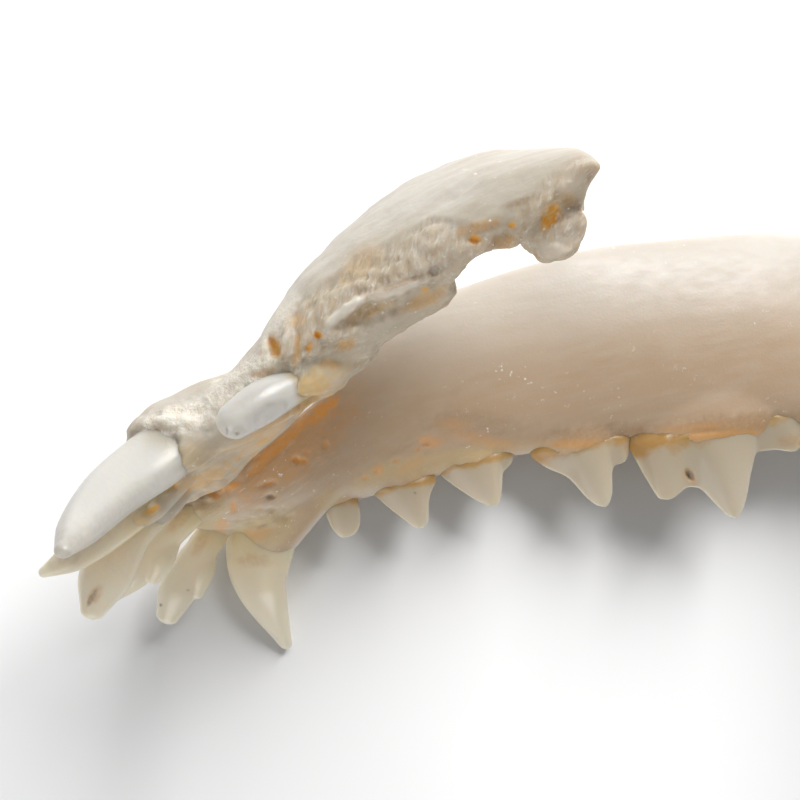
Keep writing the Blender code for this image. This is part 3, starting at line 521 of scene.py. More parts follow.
def fuse(obj, voxel, soften=0):
    """Grow overlapping blocks into one skin, and soften its creases."""
    mod = obj.modifiers.new("Skin", "REMESH")
    mod.mode = "VOXEL"
    mod.voxel_size = voxel
    mod.use_smooth_shade = True
    if soften:
        ease = obj.modifiers.new("Soften", "SMOOTH")
        ease.factor = 0.5
        ease.iterations = soften
    bake(obj)


def cut(obj, blocks):
    """Take closed blocks out of an object."""
    for block in blocks:
        tool = put(block, "tool")
        mod = obj.modifiers.new("Cut", "BOOLEAN")
        mod.operation = "DIFFERENCE"
        mod.solver = "MANIFOLD"
        mod.object = tool
        bake(obj)
        bpy.data.objects.remove(tool, do_unlink=True)


def keep_largest(obj):
    """Drop loose chips."""
    bm = bmesh.new()
    bm.from_mesh(obj.data)
    todo = set(bm.verts)
    groups = []
    while todo:
        front = [todo.pop()]
        group = []
        while front:
            v = front.pop()
            group.append(v)
            near = todo.intersection(e.other_vert(v) for e in v.link_edges)
            todo -= near
            front.extend(near)
        groups.append(group)
    loose = [v for group in sorted(groups, key=len)[:-1] for v in group]
    if loose:
        bmesh.ops.delete(bm, geom=loose, context="VERTS")
        bm.to_mesh(obj.data)
    bm.free()


def span(low, high, count):
    """Evenly spaced numbers, both ends included."""
    return [low + (high - low) * i / (count - 1) for i in range(count)]


def rows(items, field):
    """A field of three numbers from each of a mesh's items."""
    flat = np.empty(len(items) * 3, np.float32)
    items.foreach_get(field, flat)
    return flat.reshape(-1, 3).astype(float)


def points(obj):
    """An object's vertices."""
    return rows(obj.data.vertices, "co")


def normals(obj):
    """An object's vertex normals."""
    return rows(obj.data.vertex_normals, "vector")


def move_points(obj, places):
    """Give an object's vertices new places."""
    obj.data.vertices.foreach_set("co", places.astype(np.float32).ravel())
    obj.data.update()


def paint(obj, name, values):
    """Store one number from 0 to 1 for each vertex."""
    layer = obj.data.attributes.get(name) or obj.data.attributes.new(name, "FLOAT", "POINT")
    layer.data.foreach_set("value", np.clip(values, 0, 1).astype(np.float32))


def step(low, high, x):
    """Smooth rise from 0 at low to 1 at high."""
    t = np.clip((x - low) / (high - low), 0, 1)
    return t * t * (3 - 2 * t)


def ragged(p, size, seed):
    """Smooth noise at each point, from about -1 to 1."""
    off = Vector((seed * 17.3, seed * 5.1, seed * 9.7))
    return np.array([noise.noise(Vector(row) / size + off) for row in p])


def marks(obj, places, edge=0.3, rim=(1.15, 0.4)):
    """How strongly the photograph's marks fall on each point of an object that faces the camera.

    A mark fades from nothing to its full strength between the rim's two shares of its size, and edge is
    how uneven its outline is.
    """
    p = points(obj)
    off = p - np.array(CAMERA_AT)
    far = off @ np.array(CAMERA_AWAY)
    u = FRAME / 2 + FOCAL * (off @ np.array(CAMERA_RIGHT)) / far
    v = FRAME / 2 + FOCAL * (off @ np.array(CAMERA_DOWN)) / far
    facing = step(0.0, 0.3, -(normals(obj) @ np.array(CAMERA_AWAY)))
    uneven = edge * ragged(p, 0.9, 3)
    total = np.zeros(len(p))
    for mid_u, mid_v, half_long, half_wide, turn, strength in places:
        a = math.radians(turn)
        across = (u - mid_u) * far / FOCAL
        down = (v - mid_v) * far / FOCAL
        d = np.hypot((across * math.cos(a) - down * math.sin(a)) / half_long,
                     (across * math.sin(a) + down * math.cos(a)) / half_wide)
        here = strength * step(*rim, d + uneven)
        total = np.where(np.abs(here) > np.abs(total), here, total)
    return total * facing


def press(obj, deep):
    """Sink an object's surface away from the camera, by a depth for each point."""
    move_points(obj, points(obj) + np.array(CAMERA_AWAY) * deep[:, None])


def roughen(obj, share, parts):
    """Raise and sink a surface by noise; each part is (depth in mm, size in mm, seed)."""
    p = points(obj)
    high = sum(depth * ragged(p, size, seed) for depth, size, seed in parts)
    move_points(obj, p + normals(obj) * (share * high)[:, None])


def plug(tree, node, sockets):
    """Give each named input of a node a value or another node's output."""
    for key, value in sockets.items():
        if isinstance(value, bpy.types.NodeSocket):
            tree.links.new(value, node.inputs[key])
        else:
            node.inputs[key].default_value = value


def add(tree, kind, sockets=None, output=0, **settings):
    """One node with its settings and links; gives back one of its outputs, if it has any."""
    made = tree.nodes.new(kind)
    for key, value in settings.items():
        setattr(made, key, value)
    plug(tree, made, sockets or {})
    return made.outputs[output] if made.outputs else None


def hexed(text):
    """sRGB hex to linear colour."""
    parts = [int(text[i:i + 2], 16) / 255 for i in (0, 2, 4)]
    return tuple(c / 12.92 if c <= 0.04045 else ((c + 0.055) / 1.055) ** 2.4 for c in parts) + (1.0,)


def stretched(tree, where, along, long, across):
    """Pattern space whose features are long one way and narrow across it, both in mm."""
    way = tuple(Vector(along).normalized())
    even = add(tree, "ShaderNodeVectorMath", {0: where, "Scale": 1 / across}, operation="SCALE")
    share = add(tree, "ShaderNodeVectorMath", {0: where, 1: way}, "Value", operation="DOT_PRODUCT")
    pull = add(tree, "ShaderNodeMath", {0: share, 1: 1 / long - 1 / across}, operation="MULTIPLY")
    shift = add(tree, "ShaderNodeVectorMath", {0: way, "Scale": pull}, operation="SCALE")
    return add(tree, "ShaderNodeVectorMath", {0: even, 1: shift}, operation="ADD")


# Patterns. Lengths are in drawn mm, each of which is 0.88 mm on the real jaw.
# Drawn-out patterns of bone: way, length and width of a feature, detail, waviness. Faint streaks run
# along the shaft, as the bone grew, and are 1 mm wide like the real ones. Real struts and threads are
# 0.1 to 0.3 mm thick and stand 0.5 to 1 mm apart. Here they are 0.5 mm, the finest that shows.
STREAKS = ((1, 0, 0.05), 11, 1.3, 5.0, 0.0)
STRUTS = ((0.45, 0.0, -1.0), 1.9, 0.5, 3.0, 0.5)
THREADS = ((1.0, 0.0, -0.35), 3.2, 0.5, 3.0, 0.4)
# Even patterns of bone: features to a mm, and how broken they are. Clouds of stain are 11 mm and chalky or
# dark flecks 0.9 mm, as in the photograph. Real grain is finer than these 0.4 mm, but wouldn't show.
CLOUDS = (0.09, 0.5)
GRAIN = (2.4, 0.5)
FLECKS = (1.1, 0.6)
# On teeth, clouds are 3 mm. Real growth lines are 0.1 mm apart and drawn as grain of 0.5 mm, to show.
TOOTH_CLOUDS = (0.35, 0.5)
TOOTH_GRAIN = (2.0, 0.5)
# Hollows of spongy bone are about 1 mm across and this much longer along the struts, as real ones are
# near the teeth. They are bent by a noise of 2 mm, and lie deeper in patches of 3 mm.
CELL_LONG = 2.6
CELL_BENDS_PER_MM = 0.45
CELL_BEND = 2.2
CELL_PATCHES_PER_MM = 0.35


def relief_tree(material):
    """Weathered bone's relief: fine grain everywhere, and open spongy cells where "spongy" is painted."""
    tree = bpy.data.node_groups.new("weathered_relief", "GeometryNodeTree")
    face = tree.interface
    face.new_socket("Geometry", in_out="INPUT", socket_type="NodeSocketGeometry")
    for label in ("Grain depth", "Grain size", "Cell depth", "Cell size", "Lump depth", "Lump size"):
        face.new_socket(label, in_out="INPUT", socket_type="NodeSocketFloat")
    face.new_socket("Geometry", in_out="OUTPUT", socket_type="NodeSocketGeometry")
    given = add(tree, "NodeGroupInput").node.outputs
    place = add(tree, "GeometryNodeInputPosition")
    spongy = add(tree, "GeometryNodeInputNamedAttribute", {"Name": "spongy"}, data_type="FLOAT")
    drawn = stretched(tree, place, STRUTS[0], CELL_LONG, 1.0)
    one_over = add(tree, "ShaderNodeMath", {0: 1.0, 1: given["Cell size"]}, operation="DIVIDE")
    wave = add(tree, "ShaderNodeTexNoise", {"Vector": drawn, "Scale": CELL_BENDS_PER_MM, "Detail": 2.0},
               "Color")
    warp = add(tree, "ShaderNodeVectorMath", {0: wave, 1: (CELL_BEND,) * 3}, operation="MULTIPLY")
    bent = add(tree, "ShaderNodeVectorMath", {0: drawn, 1: warp}, operation="ADD")
    cells = add(tree, "ShaderNodeTexVoronoi", {"Vector": bent, "Scale": one_over}, "Distance",
                feature="DISTANCE_TO_EDGE")
    open_cell = add(tree, "ShaderNodeMapRange", {0: cells, 1: 0.04, 2: 0.30, 3: 0.0, 4: 1.0},
                    interpolation_type="SMOOTHSTEP")
    patch = add(tree, "ShaderNodeTexNoise", {"Vector": place, "Scale": CELL_PATCHES_PER_MM, "Detail": 2.0})
    some = add(tree, "ShaderNodeMapRange", {0: patch, 1: 0.42, 2: 0.62, 3: 0.25, 4: 1.0})
    hollow = add(tree, "ShaderNodeMath", {0: open_cell, 1: some}, operation="MULTIPLY")
    hollow = add(tree, "ShaderNodeMath", {0: hollow, 1: spongy}, operation="MULTIPLY")
    total = add(tree, "ShaderNodeMath", {0: hollow, 1: given["Cell depth"]}, operation="MULTIPLY")
    for kind, detail in (("Grain", 3.0), ("Lump", 1.0)):
        scale = add(tree, "ShaderNodeMath", {0: 1.0, 1: given[kind + " size"]}, operation="DIVIDE")
        bumpy = add(tree, "ShaderNodeTexNoise", {"Vector": place, "Scale": scale, "Detail": detail})
        even = add(tree, "ShaderNodeMath", {0: bumpy, 1: 0.5}, operation="SUBTRACT")
        high = add(tree, "ShaderNodeMath", {0: even, 1: given[kind + " depth"]}, operation="MULTIPLY")
        total = add(tree, "ShaderNodeMath", {0: total, 1: high}, operation="SUBTRACT")
    back = add(tree, "ShaderNodeMath", {0: total, 1: -1.0}, operation="MULTIPLY")
    out = add(tree, "GeometryNodeInputNormal")
    offset = add(tree, "ShaderNodeVectorMath", {0: out, "Scale": back}, operation="SCALE")
    kept = add(tree, "GeometryNodeStoreNamedAttribute",
               {"Geometry": given["Geometry"], "Name": "hollow", "Value": hollow},
               data_type="FLOAT", domain="POINT")
    moved = add(tree, "GeometryNodeSetPosition", {"Geometry": kept, "Offset": offset})
    real = add(tree, "GeometryNodeRealizeInstances", {"Geometry": moved})
    done = add(tree, "GeometryNodeSetMaterial", {"Geometry": real, "Material": material})
    add(tree, "NodeGroupOutput", {"Geometry": done})
    return tree


def weather(obj, tree, **sizes):
    """Run the relief on an object with its own sizes, and keep the result as a plain mesh."""
    mod = obj.modifiers.new("Relief", "NODES")
    mod.node_group = tree
    idents = {item.name: item.identifier for item in tree.interface.items_tree if item.in_out == "INPUT"}
    for key, value in sizes.items():
        mod[idents[key.replace("_", " ").capitalize()]] = value
    bake(obj)


def tint(tree, base, layers):
    """Colours laid one over another; each is (where it goes, how much of it, colour)."""
    for part, share, colour in layers:
        laid = add(tree, "ShaderNodeMath", {0: part, 1: share}, operation="MULTIPLY", use_clamp=True)
        base = add(tree, "ShaderNodeMix", {0: laid, 6: base, 7: hexed(colour)}, 2, data_type="RGBA")
    return base


def bumps(tree, parts):
    """A bump from patterns; each is (pattern, share of it, height in mm)."""
    height = 0.0
    for pattern, share, high in parts:
        part = add(tree, "ShaderNodeMath", {0: pattern, 1: share}, operation="MULTIPLY", use_clamp=True)
        height = add(tree, "ShaderNodeMath", {0: part, 1: high, 2: height}, operation="MULTIPLY_ADD")
    return add(tree, "ShaderNodeBump", {"Height": height, "Strength": 1.0, "Distance": MM})


def start_material(name, painted, drawn_out, even):
    """A new material, what is painted on its mesh, and its patterns in the order of their tables."""
    mat = bpy.data.materials.new(name)
    mat.use_nodes = True
    tree = mat.node_tree
    where = add(tree, "ShaderNodeAttribute", {}, "Vector", attribute_name="jaw")
    at = {part: add(tree, "ShaderNodeAttribute", {}, "Fac", attribute_name=part) for part in painted}
    looks = [{"Vector": stretched(tree, where, way, long, across), "Scale": 1.0, "Detail": detail,
              "Distortion": bend} for way, long, across, detail, bend in drawn_out]
    looks += [{"Vector": where, "Scale": per_mm, "Detail": 3.0, "Roughness": broken}
              for per_mm, broken in even]
    return mat, tree, at, [add(tree, "ShaderNodeTexNoise", look) for look in looks]


def bone_material(name, light, shade, grease_and_shade, amber_stain_and_glow, rough):
    """Dry bone, cleaned and bleached: the light goes a little way in, so it looks soft and chalky.

    It is cream outside with faint streaks along the shaft, and tan where grease stayed; on the left half's
    inner side the tan is also painted shade. Inner bone shows its struts as fine pale threads, partly a
    painted highlight, over tan hollows darkened as painted shade. Its IOR is near that of dry collagen.
    """
    mat, tree, at, patterns = start_material(
        name, ("spongy", "fibrous", "hollow", "pale", "crust", "tan", "honey", "brown", "amber", "grey"),
        (STREAKS, STRUTS, THREADS), (CLOUDS, GRAIN, FLECKS))
    streak, struts, threads, cloud, fine, flecks = patterns
    tone = add(tree, "ShaderNodeMath", {0: streak, 1: cloud}, operation="ADD")
    # How much of each pattern shows: a range of the pattern becomes a range of shares.
    show = {}
    for use, *ranges in (
            ("tone", tone, 0.80, 1.20, 0.0, 1.0), ("crust", fine, 0.3, 0.55, 0.45, 1.0),
            ("tan", streak, 0.25, 0.75, 1.12, 0.82), ("honey", fine, 0.2, 0.6, 0.7, 1.0),
            ("strut dips", struts, 0.54, 0.38, 0.0, 1.0), ("thread dips", threads, 0.52, 0.36, 0.0, 1.0),
            ("strut tops", struts, 0.55, 0.68, 0.0, 1.0), ("thread tops", threads, 0.56, 0.70, 0.0, 1.0),
            ("blotch", fine, 0.3, 0.7, 0.65, 1.1), ("chalky", flecks, 0.65, 0.74, 0.0, 1.0),
            ("clouded", cloud, 0.46, 0.66, 0.0, 1.0), ("dark", flecks, 0.27, 0.22, 0.0, 1.0),
            ("dull", streak, 0.3, 0.7, rough - 0.07, rough + 0.1)):
        show[use] = add(tree, "ShaderNodeMapRange", dict(enumerate(ranges)))
    inside = {}
    for side in ("dips", "tops"):
        both = {}
        for i, (kind, part) in enumerate((("strut ", "spongy"), ("thread ", "fibrous"))):
            both[i] = add(tree, "ShaderNodeMath", {0: show[kind + side], 1: at[part]}, operation="MULTIPLY",
                          use_clamp=True)
        inside[side] = add(tree, "ShaderNodeMath", both, operation="MAXIMUM")
    base = tint(tree, hexed(light), (
        # Pale is partly a painted highlight, on the lower borders, which face the light.
        (show["tone"], 1.0, shade), (at["pale"], 1.0, "F1ECE3"), (at["crust"], show["crust"], "F6EEDF"),
        # Tan is grease, and on the left half's inner side also painted shade, darker towards the teeth.
        (at["tan"], show["tan"], grease_and_shade), (at["honey"], show["honey"], "D3BD92"),
        # Painted shade in the dips between struts and in sunken cells; paler strut tops, partly painted
        # highlight.
        (inside["dips"], 0.25, "BE9C6C"), (inside["tops"], 0.38, "F1ECE3"), (at["hollow"], 0.35, "AD9063"),
        # Brown is painted shade along the crest and in grooves.
        (at["brown"], show["blotch"], "96795A"), (at["amber"], show["blotch"], amber_stain_and_glow),
        (at["grey"], show["blotch"], "7B7873"), (show["chalky"], show["clouded"], "F8F5EF"),
        (show["dark"], 0.5, "8C7658")))
    # Crusts are duller than the rest. Amber bone glows faintly: painted light, for light coming
    # through thin bone.
    plug(tree, tree.nodes["Principled BSDF"], {
        "Base Color": base,
        "Roughness": add(tree, "ShaderNodeMath", {0: at["crust"], 1: 0.35, 2: show["dull"]},
                         operation="MULTIPLY_ADD"),
        "Emission Color": base,
        "Emission Strength": add(tree, "ShaderNodeMath", {0: at["amber"], 1: 0.13}, operation="MULTIPLY",
                                 use_clamp=True),
        "Normal": bumps(tree, ((streak, 1.0, 0.025), (fine, 1.0, 0.03), (fine, at["crust"], 0.24),
                               (struts, at["spongy"], 0.2), (threads, at["fibrous"], 0.16))),
        "IOR": 1.5,
        "Subsurface Weight": 0.35,
        "Subsurface Radius": (1.0, 0.55, 0.3),
        "Subsurface Scale": 0.0025})
    return mat


def enamel_material(name, neck, crown_hex, tip, rough, spread=0.36):
    """Tooth enamel, worn smooth: glossy and half clear, with yellow dentine under it.

    So it is yellowish at the neck, where it is thin, ivory on the crown and paler at the edge.
    """
    mat, tree, at, (cloud, fine) = start_material(name, ("height", "rim", "amber", "grey"), (),
                                                  (TOOTH_CLOUDS, TOOTH_GRAIN))
    uneven = add(tree, "ShaderNodeMapRange", {0: cloud, 1: 0.3, 2: 0.7, 3: -0.06, 4: 0.06})
    blotch = add(tree, "ShaderNodeMapRange", {0: fine, 1: 0.3, 2: 0.7, 3: 0.5, 4: 1.1})
    up = add(tree, "ShaderNodeMath", {0: at["height"], 1: uneven}, operation="ADD")
    base = add(tree, "ShaderNodeValToRGB", {0: up})
    stops = base.node.color_ramp.elements
    stops[0].position = 0.02
    stops[0].color = hexed(neck)
    stops[1].position = 0.95
    stops[1].color = hexed(tip)
    stops.new(spread).color = hexed(crown_hex)
    plug(tree, tree.nodes["Principled BSDF"], {
        # The paler rim is partly painted light through the thin enamel.
        "Base Color": tint(tree, base, ((at["rim"], 1.0, "EDE4CF"), (at["amber"], blotch, "C7954E"),
                                        (at["grey"], blotch, "6F6455"))),
        "Roughness": rough,
        "Normal": bumps(tree, ((fine, 1.0, 0.03),)),
        "IOR": 1.62,
        "Subsurface Weight": 0.7,
        "Subsurface Radius": (1.0, 0.75, 0.5),
        "Subsurface Scale": 0.003})
    return mat


dry_bone = bone_material("dry_bone_smooth", "E2D8CB", "D8CCBC", "C4AA8D", "DE9A45", rough=0.42)
worn_bone = bone_material("dry_bone_worn", "D0C8BA", "C2B7A4", "CFBA99", "D89E32", rough=0.55)
ivory = enamel_material("tooth_enamel_ivory", "E2CD9C", "EBE0C6", "E6DECB", rough=0.3)
aged_enamel = enamel_material("tooth_enamel_aged", "C2995C", "C7B89F", "D2C8B4", rough=0.4, spread=0.13)
white_enamel = enamel_material("tooth_enamel_white", "CBB384", "D7D5CE", "D0CEC8", rough=0.3)


def finish(obj, material, slot, replaces=(), tree=None, **sizes):
    """Lay a piece on the floor in its material, as part of the jaw."""
    if tree:
        weather(obj, tree, **sizes)
    obj.data.materials.clear()
    obj.data.materials.append(material)
    layer = obj.data.attributes.new("jaw", "FLOAT_VECTOR", "POINT")
    layer.data.foreach_set("vector", points(obj).astype(np.float32).ravel())
    obj.data.transform(TO_FLOOR)
    p = points(obj)
    p[:, 2] = np.maximum(p[:, 2], 0)
    move_points(obj, p)
    obj.data.shade_smooth()
    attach(obj, "root")
    if replaces:
        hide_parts(*replaces)


def to_left(obj):
    """Mirror an object to the animal's left."""
    obj.data.transform(MIRROR)
    obj.data.flip_normals()


def grow(obj, blocks, voxel, soften):
    """Fuse more blocks with an object."""
    skin = bmesh.new()
    skin.from_mesh(obj.data)
    joined = merged([skin] + blocks)
    joined.to_mesh(obj.data)
    joined.free()
    fuse(obj, voxel, soften)


def socket_rim(incisor, cover):
    """The bone round an incisor's root."""
    line, longs, wides, side = incisor
    first, second, third = (Vector(q) for q in line[:3])
    places = [first, second, second + (third - second) * cover]
    sizes = [[half[0] + ROOT_BONE, half[1] + ROOT_BONE, half[1] - ROOT_BONE * 0.3] for half in (longs, wides)]
    return bent_cone(places, *sizes, ACROSS)


def collar(place, lean, half_wid, profile):
    """The bone's swelling round a cheek tooth's roots, as wide as the crown where it ends."""
    base = Vector(place)
    up = Vector(lean).normalized()
    length = profile[-1][0] - profile[0][0]
    mid = base + row_direction(base.x) * (profile[-1][0] + profile[0][0]) / 2
    return bent_cone([mid - up * deep for deep in (9, 4.0, 1.0)], [length * v for v in (0.34, 0.46, 0.42)],
                     [half_wid * v for v in (0.9, 1.2, 1.16)], row_direction(base.x))


# Left half: body, ramus, hinge and angular process in one skin.
left_bone = put(merged(
    [loft([body_ring(x, 56, keel=LEFT_KEEL) for x in span(-3, 110, 100) + span(111.5, 151, 50)]),
     bent_cone(SWELL_LINE, SWELL_LONG, SWELL_WIDE, (1, 0, 1))]
    + [bent_cone(*form) for form in (HINGE_NECK, HINGE, ANGLE)]
    + [collar(place, lean, wide, profile) for place, lean, wide, root, profile in CHEEK_TEETH]), "left_bone")
fuse(left_bone, voxel=0.5, soften=6)
cut(left_bone, [bent_cone(*MUSCLE_HOLLOW), box((-20, -30, -60), (60, MIDDLE, 40))])
to_left(left_bone)
grow(left_bone, [socket_rim(incisor, ROOT_COVER["left"]) for incisor in INCISORS_LEFT], voxel=0.43, soften=3)
keep_largest(left_bone)
press(left_bone, marks(left_bone, CHIN_DENTS + CREST_DENTS))
roughen(left_bone, marks(left_bone, CHIN_ROUGH), CHIN_LUMPS)

# Right half: broken off behind the fourth premolar, its crest partly lost.
right_bone = put(merged(
    [loft([body_ring(x, 56, WEAR_RISE, INNER_WALL, KEEL) for x in span(-3, 70, 84)]),
     bent_cone(SWELL_LINE, RIGHT_SWELL_LONG, SWELL_WIDE, (1, 0, 1))]), "right_bone")
fuse(right_bone, voxel=0.4, soften=5)
trough = [[Vector((p.x, p.y - OUTER_WALL, p.z + LOWER_WALL)) for p in body_ring(x, 32, WEAR_RISE)]
          for x in span(*TROUGH, 26)]
cut(right_bone, [loft(trough)])
right_bone.data.transform(TURN)
broken_end = box((0, -60, -60), (40, 60, 60))
broken_end.transform(Matrix.Translation(BREAK_AT) @ turned(BREAK_TURN))
cut(right_bone, [prism(outline, LOST_AT, TIP_WAY, -14, 22) for outline in TIP_EDGES]
    + [broken_end, prism(LOST_CREST, LOST_AT, LOST_SLOPE, -14, 22)])
grow(right_bone, [bent_cone(STUMP, STUMP_HALF, [v * 0.7 for v in STUMP_HALF], (1, 0, 0)),
                  bent_cone(LEDGE, LEDGE_HALF, [v * 0.8 for v in LEDGE_HALF], (0, 0, 1)),
                  bent_cone(GLUE, GLUE_HALF, GLUE_HALF, (0, 0, 1))]
     + [socket_rim(incisor, ROOT_COVER["right"]) for incisor in INCISORS_RIGHT], voxel=0.3, soften=3)
cut(right_bone, [box((-20, -40, -60), (90, MIDDLE, 40))])
fuse(right_bone, voxel=0.3, soften=3)


def above_wall(p):
    """How far each point lies above the line that the right half's outer wall is broken away from."""
    return p[:, 2] - np.interp(p[:, 0], WALL_X, WALL_Z)


# What is left of the outer wall above that line lies deeper.
p = points(right_bone)
n = normals(right_bone)
gone = (step(-0.5, 0.6, above_wall(p)) * step(0.1, 0.5, n[:, 1])
        * step(22, 25, p[:, 0]) * step(64, 61, p[:, 0]))
move_points(right_bone, p - n * (gone * (WALL_LOST + WALL_UNEVEN * ragged(p, 1.4, 1)))[:, None])
press(right_bone, marks(right_bone, RIGHT_DENTS + CHIN_DENTS) - marks(right_bone, RIGHT_RIDGES))
press(right_bone, marks(right_bone, CANINE_MOUTH, edge=0.12, rim=(1.1, 0.86)))
p = points(right_bone)
broken = step(-1.0, 1.5, above_wall(p)) * step(21, 26, p[:, 0]) * (1 - marks(right_bone, RIGHT_SMOOTH))
for share, lumps in ((broken, BREAK_LUMPS), (marks(right_bone, RIGHT_CRUST), CRUST_LUMPS),
                     (marks(right_bone, CHIN_ROUGH), CHIN_LUMPS)):
    roughen(right_bone, share, lumps)
fuse(right_bone, voxel=0.26)
keep_largest(right_bone)

# Painted places of the left half: amber where light comes through thin greasy bone, threads at the chin,
# tan on its inner side, partly painted shade, and pale along its lower border as a painted highlight.
# The crest is spongy behind the first teeth.
p = points(left_bone)
inner = step(-0.2, 0.5, normals(left_bone)[:, 1])
crest_line = np.array([crest_z(x) for x in np.clip(p[:, 0], -3, 150)])
behind = step(-2.0, 2.0, p[:, 2] - crest_line) * step(26, 34, p[:, 0]) * step(112, 100, p[:, 0])
chin = step(27, 17, p[:, 0]) * step(-10, -5, p[:, 2]) * step(-13, -9, p[:, 1])
for name, values in {
        "amber": marks(left_bone, CHIN_AMBER + CREST_AMBER) + 0.25 * behind,
        "honey": marks(left_bone, HONEY),
        "spongy": 0.35 * behind * step(110, 60, p[:, 0]),
        "fibrous": 0.5 * chin * inner,
        # Painted highlight: pale along the lower border, which faces the light.
        "pale": 0.4 * step(-14, -25, p[:, 2]) * step(20, 40, p[:, 0]) + marks(left_bone, CREST_PALE),
        "grey": marks(left_bone, CHIN_GREY),
        "brown": marks(left_bone, BROWN_SHADE),
        # Tan on the inner side, darker towards the teeth: grease, and painted shade where it turns from the
        # light.
        "tan": step(-21, -6, p[:, 2]) * inner}.items():
    paint(left_bone, name, values)
finish(left_bone, dry_bone, "dry_bone", ["mandible_left"], relief_tree(dry_bone),
       Grain_depth=0.08, Grain_size=2.5, Cell_depth=0.4, Cell_size=1.1, Lump_depth=0.5, Lump_size=14.0)

# Painted places of the right half: it is spongy all over the broken wall, and crusted at its front edge.
p = points(right_bone)
broken = step(-1.5, 2.0, above_wall(p) + 1.2 * ragged(p, 2.0, 2)) * step(21, 26, p[:, 0])
front = marks(right_bone, FRONT_EDGE)
threads = marks(right_bone, FRONT_THREADS)
for name, values in {
        "amber": marks(right_bone, RIGHT_AMBER + CHIN_AMBER),
        "honey": marks(right_bone, HONEY),
        "crust": front + marks(right_bone, RIGHT_CRUST),
        "spongy": broken * (1 - marks(right_bone, RIGHT_SMOOTH)),
        "fibrous": 0.5 * threads,
        # Painted highlight: pale along the lower border; pale crust at the front edge, and pale ridges.
        "pale": 0.35 * step(-8, -16, p[:, 2]) + 0.4 * front + marks(right_bone, RIGHT_RIDGES),
        "grey": marks(right_bone, RIGHT_GREY),
        "brown": marks(right_bone, BROWN_SHADE),
        "tan": 0.25 * broken * step(24, 34, p[:, 0]) + 0.6 * threads}.items():
    paint(right_bone, name, values)
finish(right_bone, worn_bone, "weathered_bone", ["mandible_right"], relief_tree(worn_bone),
       Grain_depth=0.15, Grain_size=1.1, Cell_depth=0.14, Cell_size=0.9, Lump_depth=0.7, Lump_size=5.0)


def tooth_heights(obj, neck, tip):
    """Paint how far up its crown each point lies: 0 at the neck, 1 at the tip."""
    axis = np.array(tip) - np.array(neck)
    paint(obj, "height", (points(obj) - np.array(neck)) @ axis / (axis @ axis))


def stain_teeth(obj):
    """Paint the photograph's specks, stains and greasy necks on teeth, and painted shade on the right canine.
    """
    paint(obj, "amber", marks(obj, TOOTH_AMBER))
    paint(obj, "grey", marks(obj, TOOTH_SPECKS_AND_SHADE))


def collect(name, teeth):
    """One piece of several teeth."""
    whole = bmesh.new()
    for tooth in teeth:
        whole.from_mesh(tooth.data)
        bpy.data.objects.remove(tooth, do_unlink=True)
    return put(whole, name)


# Cheek teeth of the left half.
cheek_teeth = []
for place, lean, half_wid, root, profile in CHEEK_TEETH:
    tooth = put(crown(place, lean, half_wid, root, profile), "tooth")
    fuse(tooth, voxel=0.26, soften=3)
    base = Vector(place)
    up = Vector(lean).normalized()
    tooth_heights(tooth, base + up * 0.2, base + up * max(h for s, h in profile))
    # The thin cutting edges are paler than the rest: partly their own colour, and partly painted light
    # through the thin enamel.
    across = np.array(up.cross(row_direction(base.x)).normalized())
    above = (points(tooth) - np.array(base)) @ np.array(up)
    paint(tooth, "rim", 0.7 * step(0.25, 0.75, 1 - np.abs(normals(tooth) @ across)) * step(0.8, 2.0, above))
    cheek_teeth.append(tooth)
left_cheek_teeth = collect("left_cheek_teeth", cheek_teeth)
to_left(left_cheek_teeth)
stain_teeth(left_cheek_teeth)
press(left_cheek_teeth, marks(left_cheek_teeth, MOLAR_PIT))
finish(left_cheek_teeth, aged_enamel, "enamel")


def incisor_row(name, incisors):
    """The incisors of one side, each fused with its side cusp."""
    teeth = []
    for line, longs, wides, side in incisors:
        blocks = [bent_cone(line, longs, wides, ACROSS)]
        if side:
            top = Vector(line[3]) + Vector(side)
            foot = Vector(line[2]) + Vector(side) * 0.4
            blocks.append(bent_cone([foot, (foot + top) / 2, top], [1.2, 1.7, 1.1], [1.2, 1.6, 0.9], ACROSS))
        tooth = put(merged(blocks), "tooth")
        fuse(tooth, voxel=0.22, soften=4)
        tooth_heights(tooth, line[1], line[4])
        teeth.append(tooth)
    row = collect(name, teeth)
    stain_teeth(row)
    finish(row, ivory, "enamel")
    return row


left_incisors = incisor_row("left_incisors", INCISORS_LEFT)
right_incisors = incisor_row("right_incisors", INCISORS_RIGHT)

canines = []
for side, material, line, longs, wides in (
        ("left", ivory, CANINE_LINE, CANINE_LONG, CANINE_WIDE),
        ("right", white_enamel, RIGHT_CANINE_LINE, RIGHT_CANINE_LONG, RIGHT_CANINE_WIDE)):
    canine = put(bent_cone(line, longs, wides, (1, 0, 1), 72, 24, CANINE_RIDGES), side + "_canine")
    fuse(canine, voxel=0.2, soften=2)
    tooth_heights(canine, CANINE_NECK[side], line[-1])
    if side == "left":
        to_left(canine)
    else:
        canine.data.transform(TURN)
    stain_teeth(canine)
    finish(canine, material, "enamel", ["canine_" + side])
    canines.append(canine)

slipped = put(bent_cone(SLIPPED_TOOTH, SLIPPED_HALF, SLIPPED_HALF, (0, 0, 1)), "right_slipped_tooth")
fuse(slipped, voxel=0.24, soften=3)
press(slipped, marks(slipped, SLIPPED_DENTS))
tooth_heights(slipped, SLIPPED_NECK, SLIPPED_TIP)
stain_teeth(slipped)
finish(slipped, white_enamel, "enamel")

# Backdrop: matt white paper.
paper = bpy.data.materials.new("paper_white")
paper.use_nodes = True
plug(paper.node_tree, paper.node_tree.nodes["Principled BSDF"],
     {"Base Color": hexed("F9F9F9"), "Roughness": 0.9})
floor = put(box((-3, -3, -0.02), (3, 3, 0)), "floor")
floor.data.materials.append(paper)

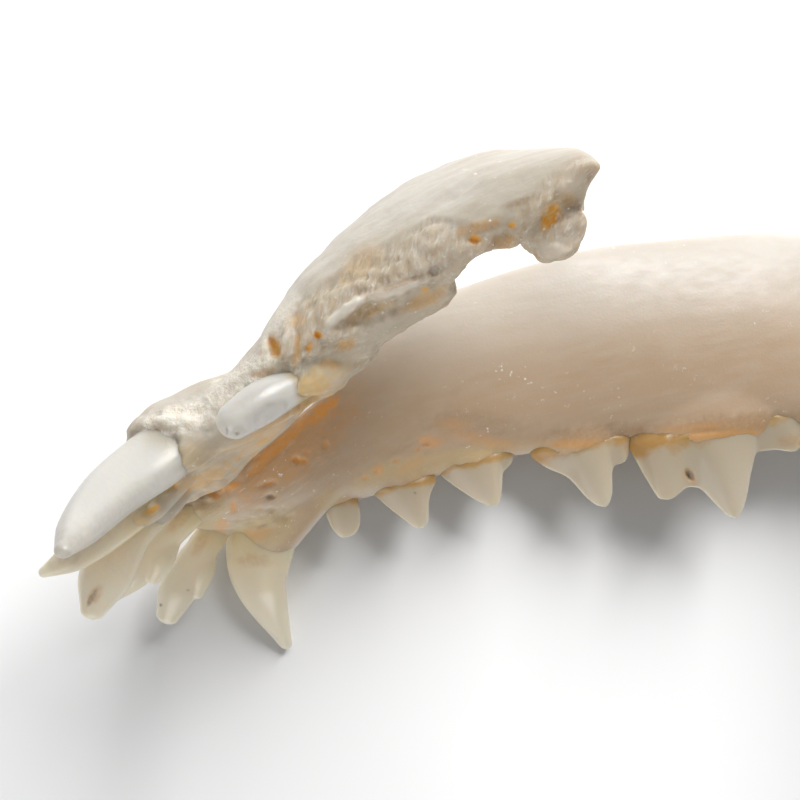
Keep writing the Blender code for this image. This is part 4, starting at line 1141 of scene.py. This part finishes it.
world = bpy.data.worlds.new("studio")
bpy.context.scene.world = world
world.use_nodes = True
plug(world.node_tree, world.node_tree.nodes["Background"], {"Color": (1, 1, 1, 1), "Strength": 0.26})


def lamp(name, place, aim, size, power, lit):
    """A soft square light that falls on some pieces only."""
    data = bpy.data.lights.new(name, "AREA")
    data.shape = "SQUARE"
    data.size = size
    data.energy = power
    obj = bpy.data.objects.new(name, data)
    bpy.context.scene.collection.objects.link(obj)
    obj.location = place
    obj.rotation_euler = (Vector(aim) - Vector(place)).to_track_quat("-Z", "Y").to_euler()
    group = bpy.data.collections.new(name + "_lit")
    for piece in lit:
        group.objects.link(piece)
    obj.light_linking.receiver_collection = group


# Soft light from the upper right of the picture, and a weaker one from the lower left.
jaw = [left_bone, right_bone, left_cheek_teeth, left_incisors, right_incisors, slipped] + canines
lamp("key", place=(0.22, 0.50, 0.37), aim=(0, 0, 0), size=0.35, power=3.6, lit=jaw)
lamp("fill", place=(-0.25, -0.45, 0.30), aim=(-0.03, 0, 0), size=0.4, power=1.25, lit=jaw)
# The backdrop has a higher, softer light of its own, so that the shadow stays close to the jaw.
lamp("wash", place=(0.38, 0.95, 0.62), aim=(0, 0, 0), size=0.8, power=28.5, lit=[floor])
# The broken half's front faces the bright paper at the side.
lamp("bounce", place=(-0.45, 0.22, 0.25), aim=(-0.04, 0, 0.02), size=0.35, power=0.26,
     lit=[right_bone, slipped])

camera_data = bpy.data.cameras.new("camera")
camera = bpy.data.objects.new("camera", camera_data)
bpy.context.scene.collection.objects.link(camera)
right, down, away = (turned(LIE) @ Vector(way) for way in (CAMERA_RIGHT, CAMERA_DOWN, CAMERA_AWAY))
looks = Matrix((right, -down, -away)).transposed().to_4x4()
camera.matrix_world = Matrix.Translation(TO_FLOOR @ Vector(CAMERA_AT)) @ looks
camera_data.sensor_width = SENSOR
camera_data.lens = FOCAL / FRAME * SENSOR
camera_data.clip_start = 0.005
camera_data.clip_end = 20.0
bpy.context.scene.camera = camera
bpy.context.scene.view_settings.view_transform = "Standard"
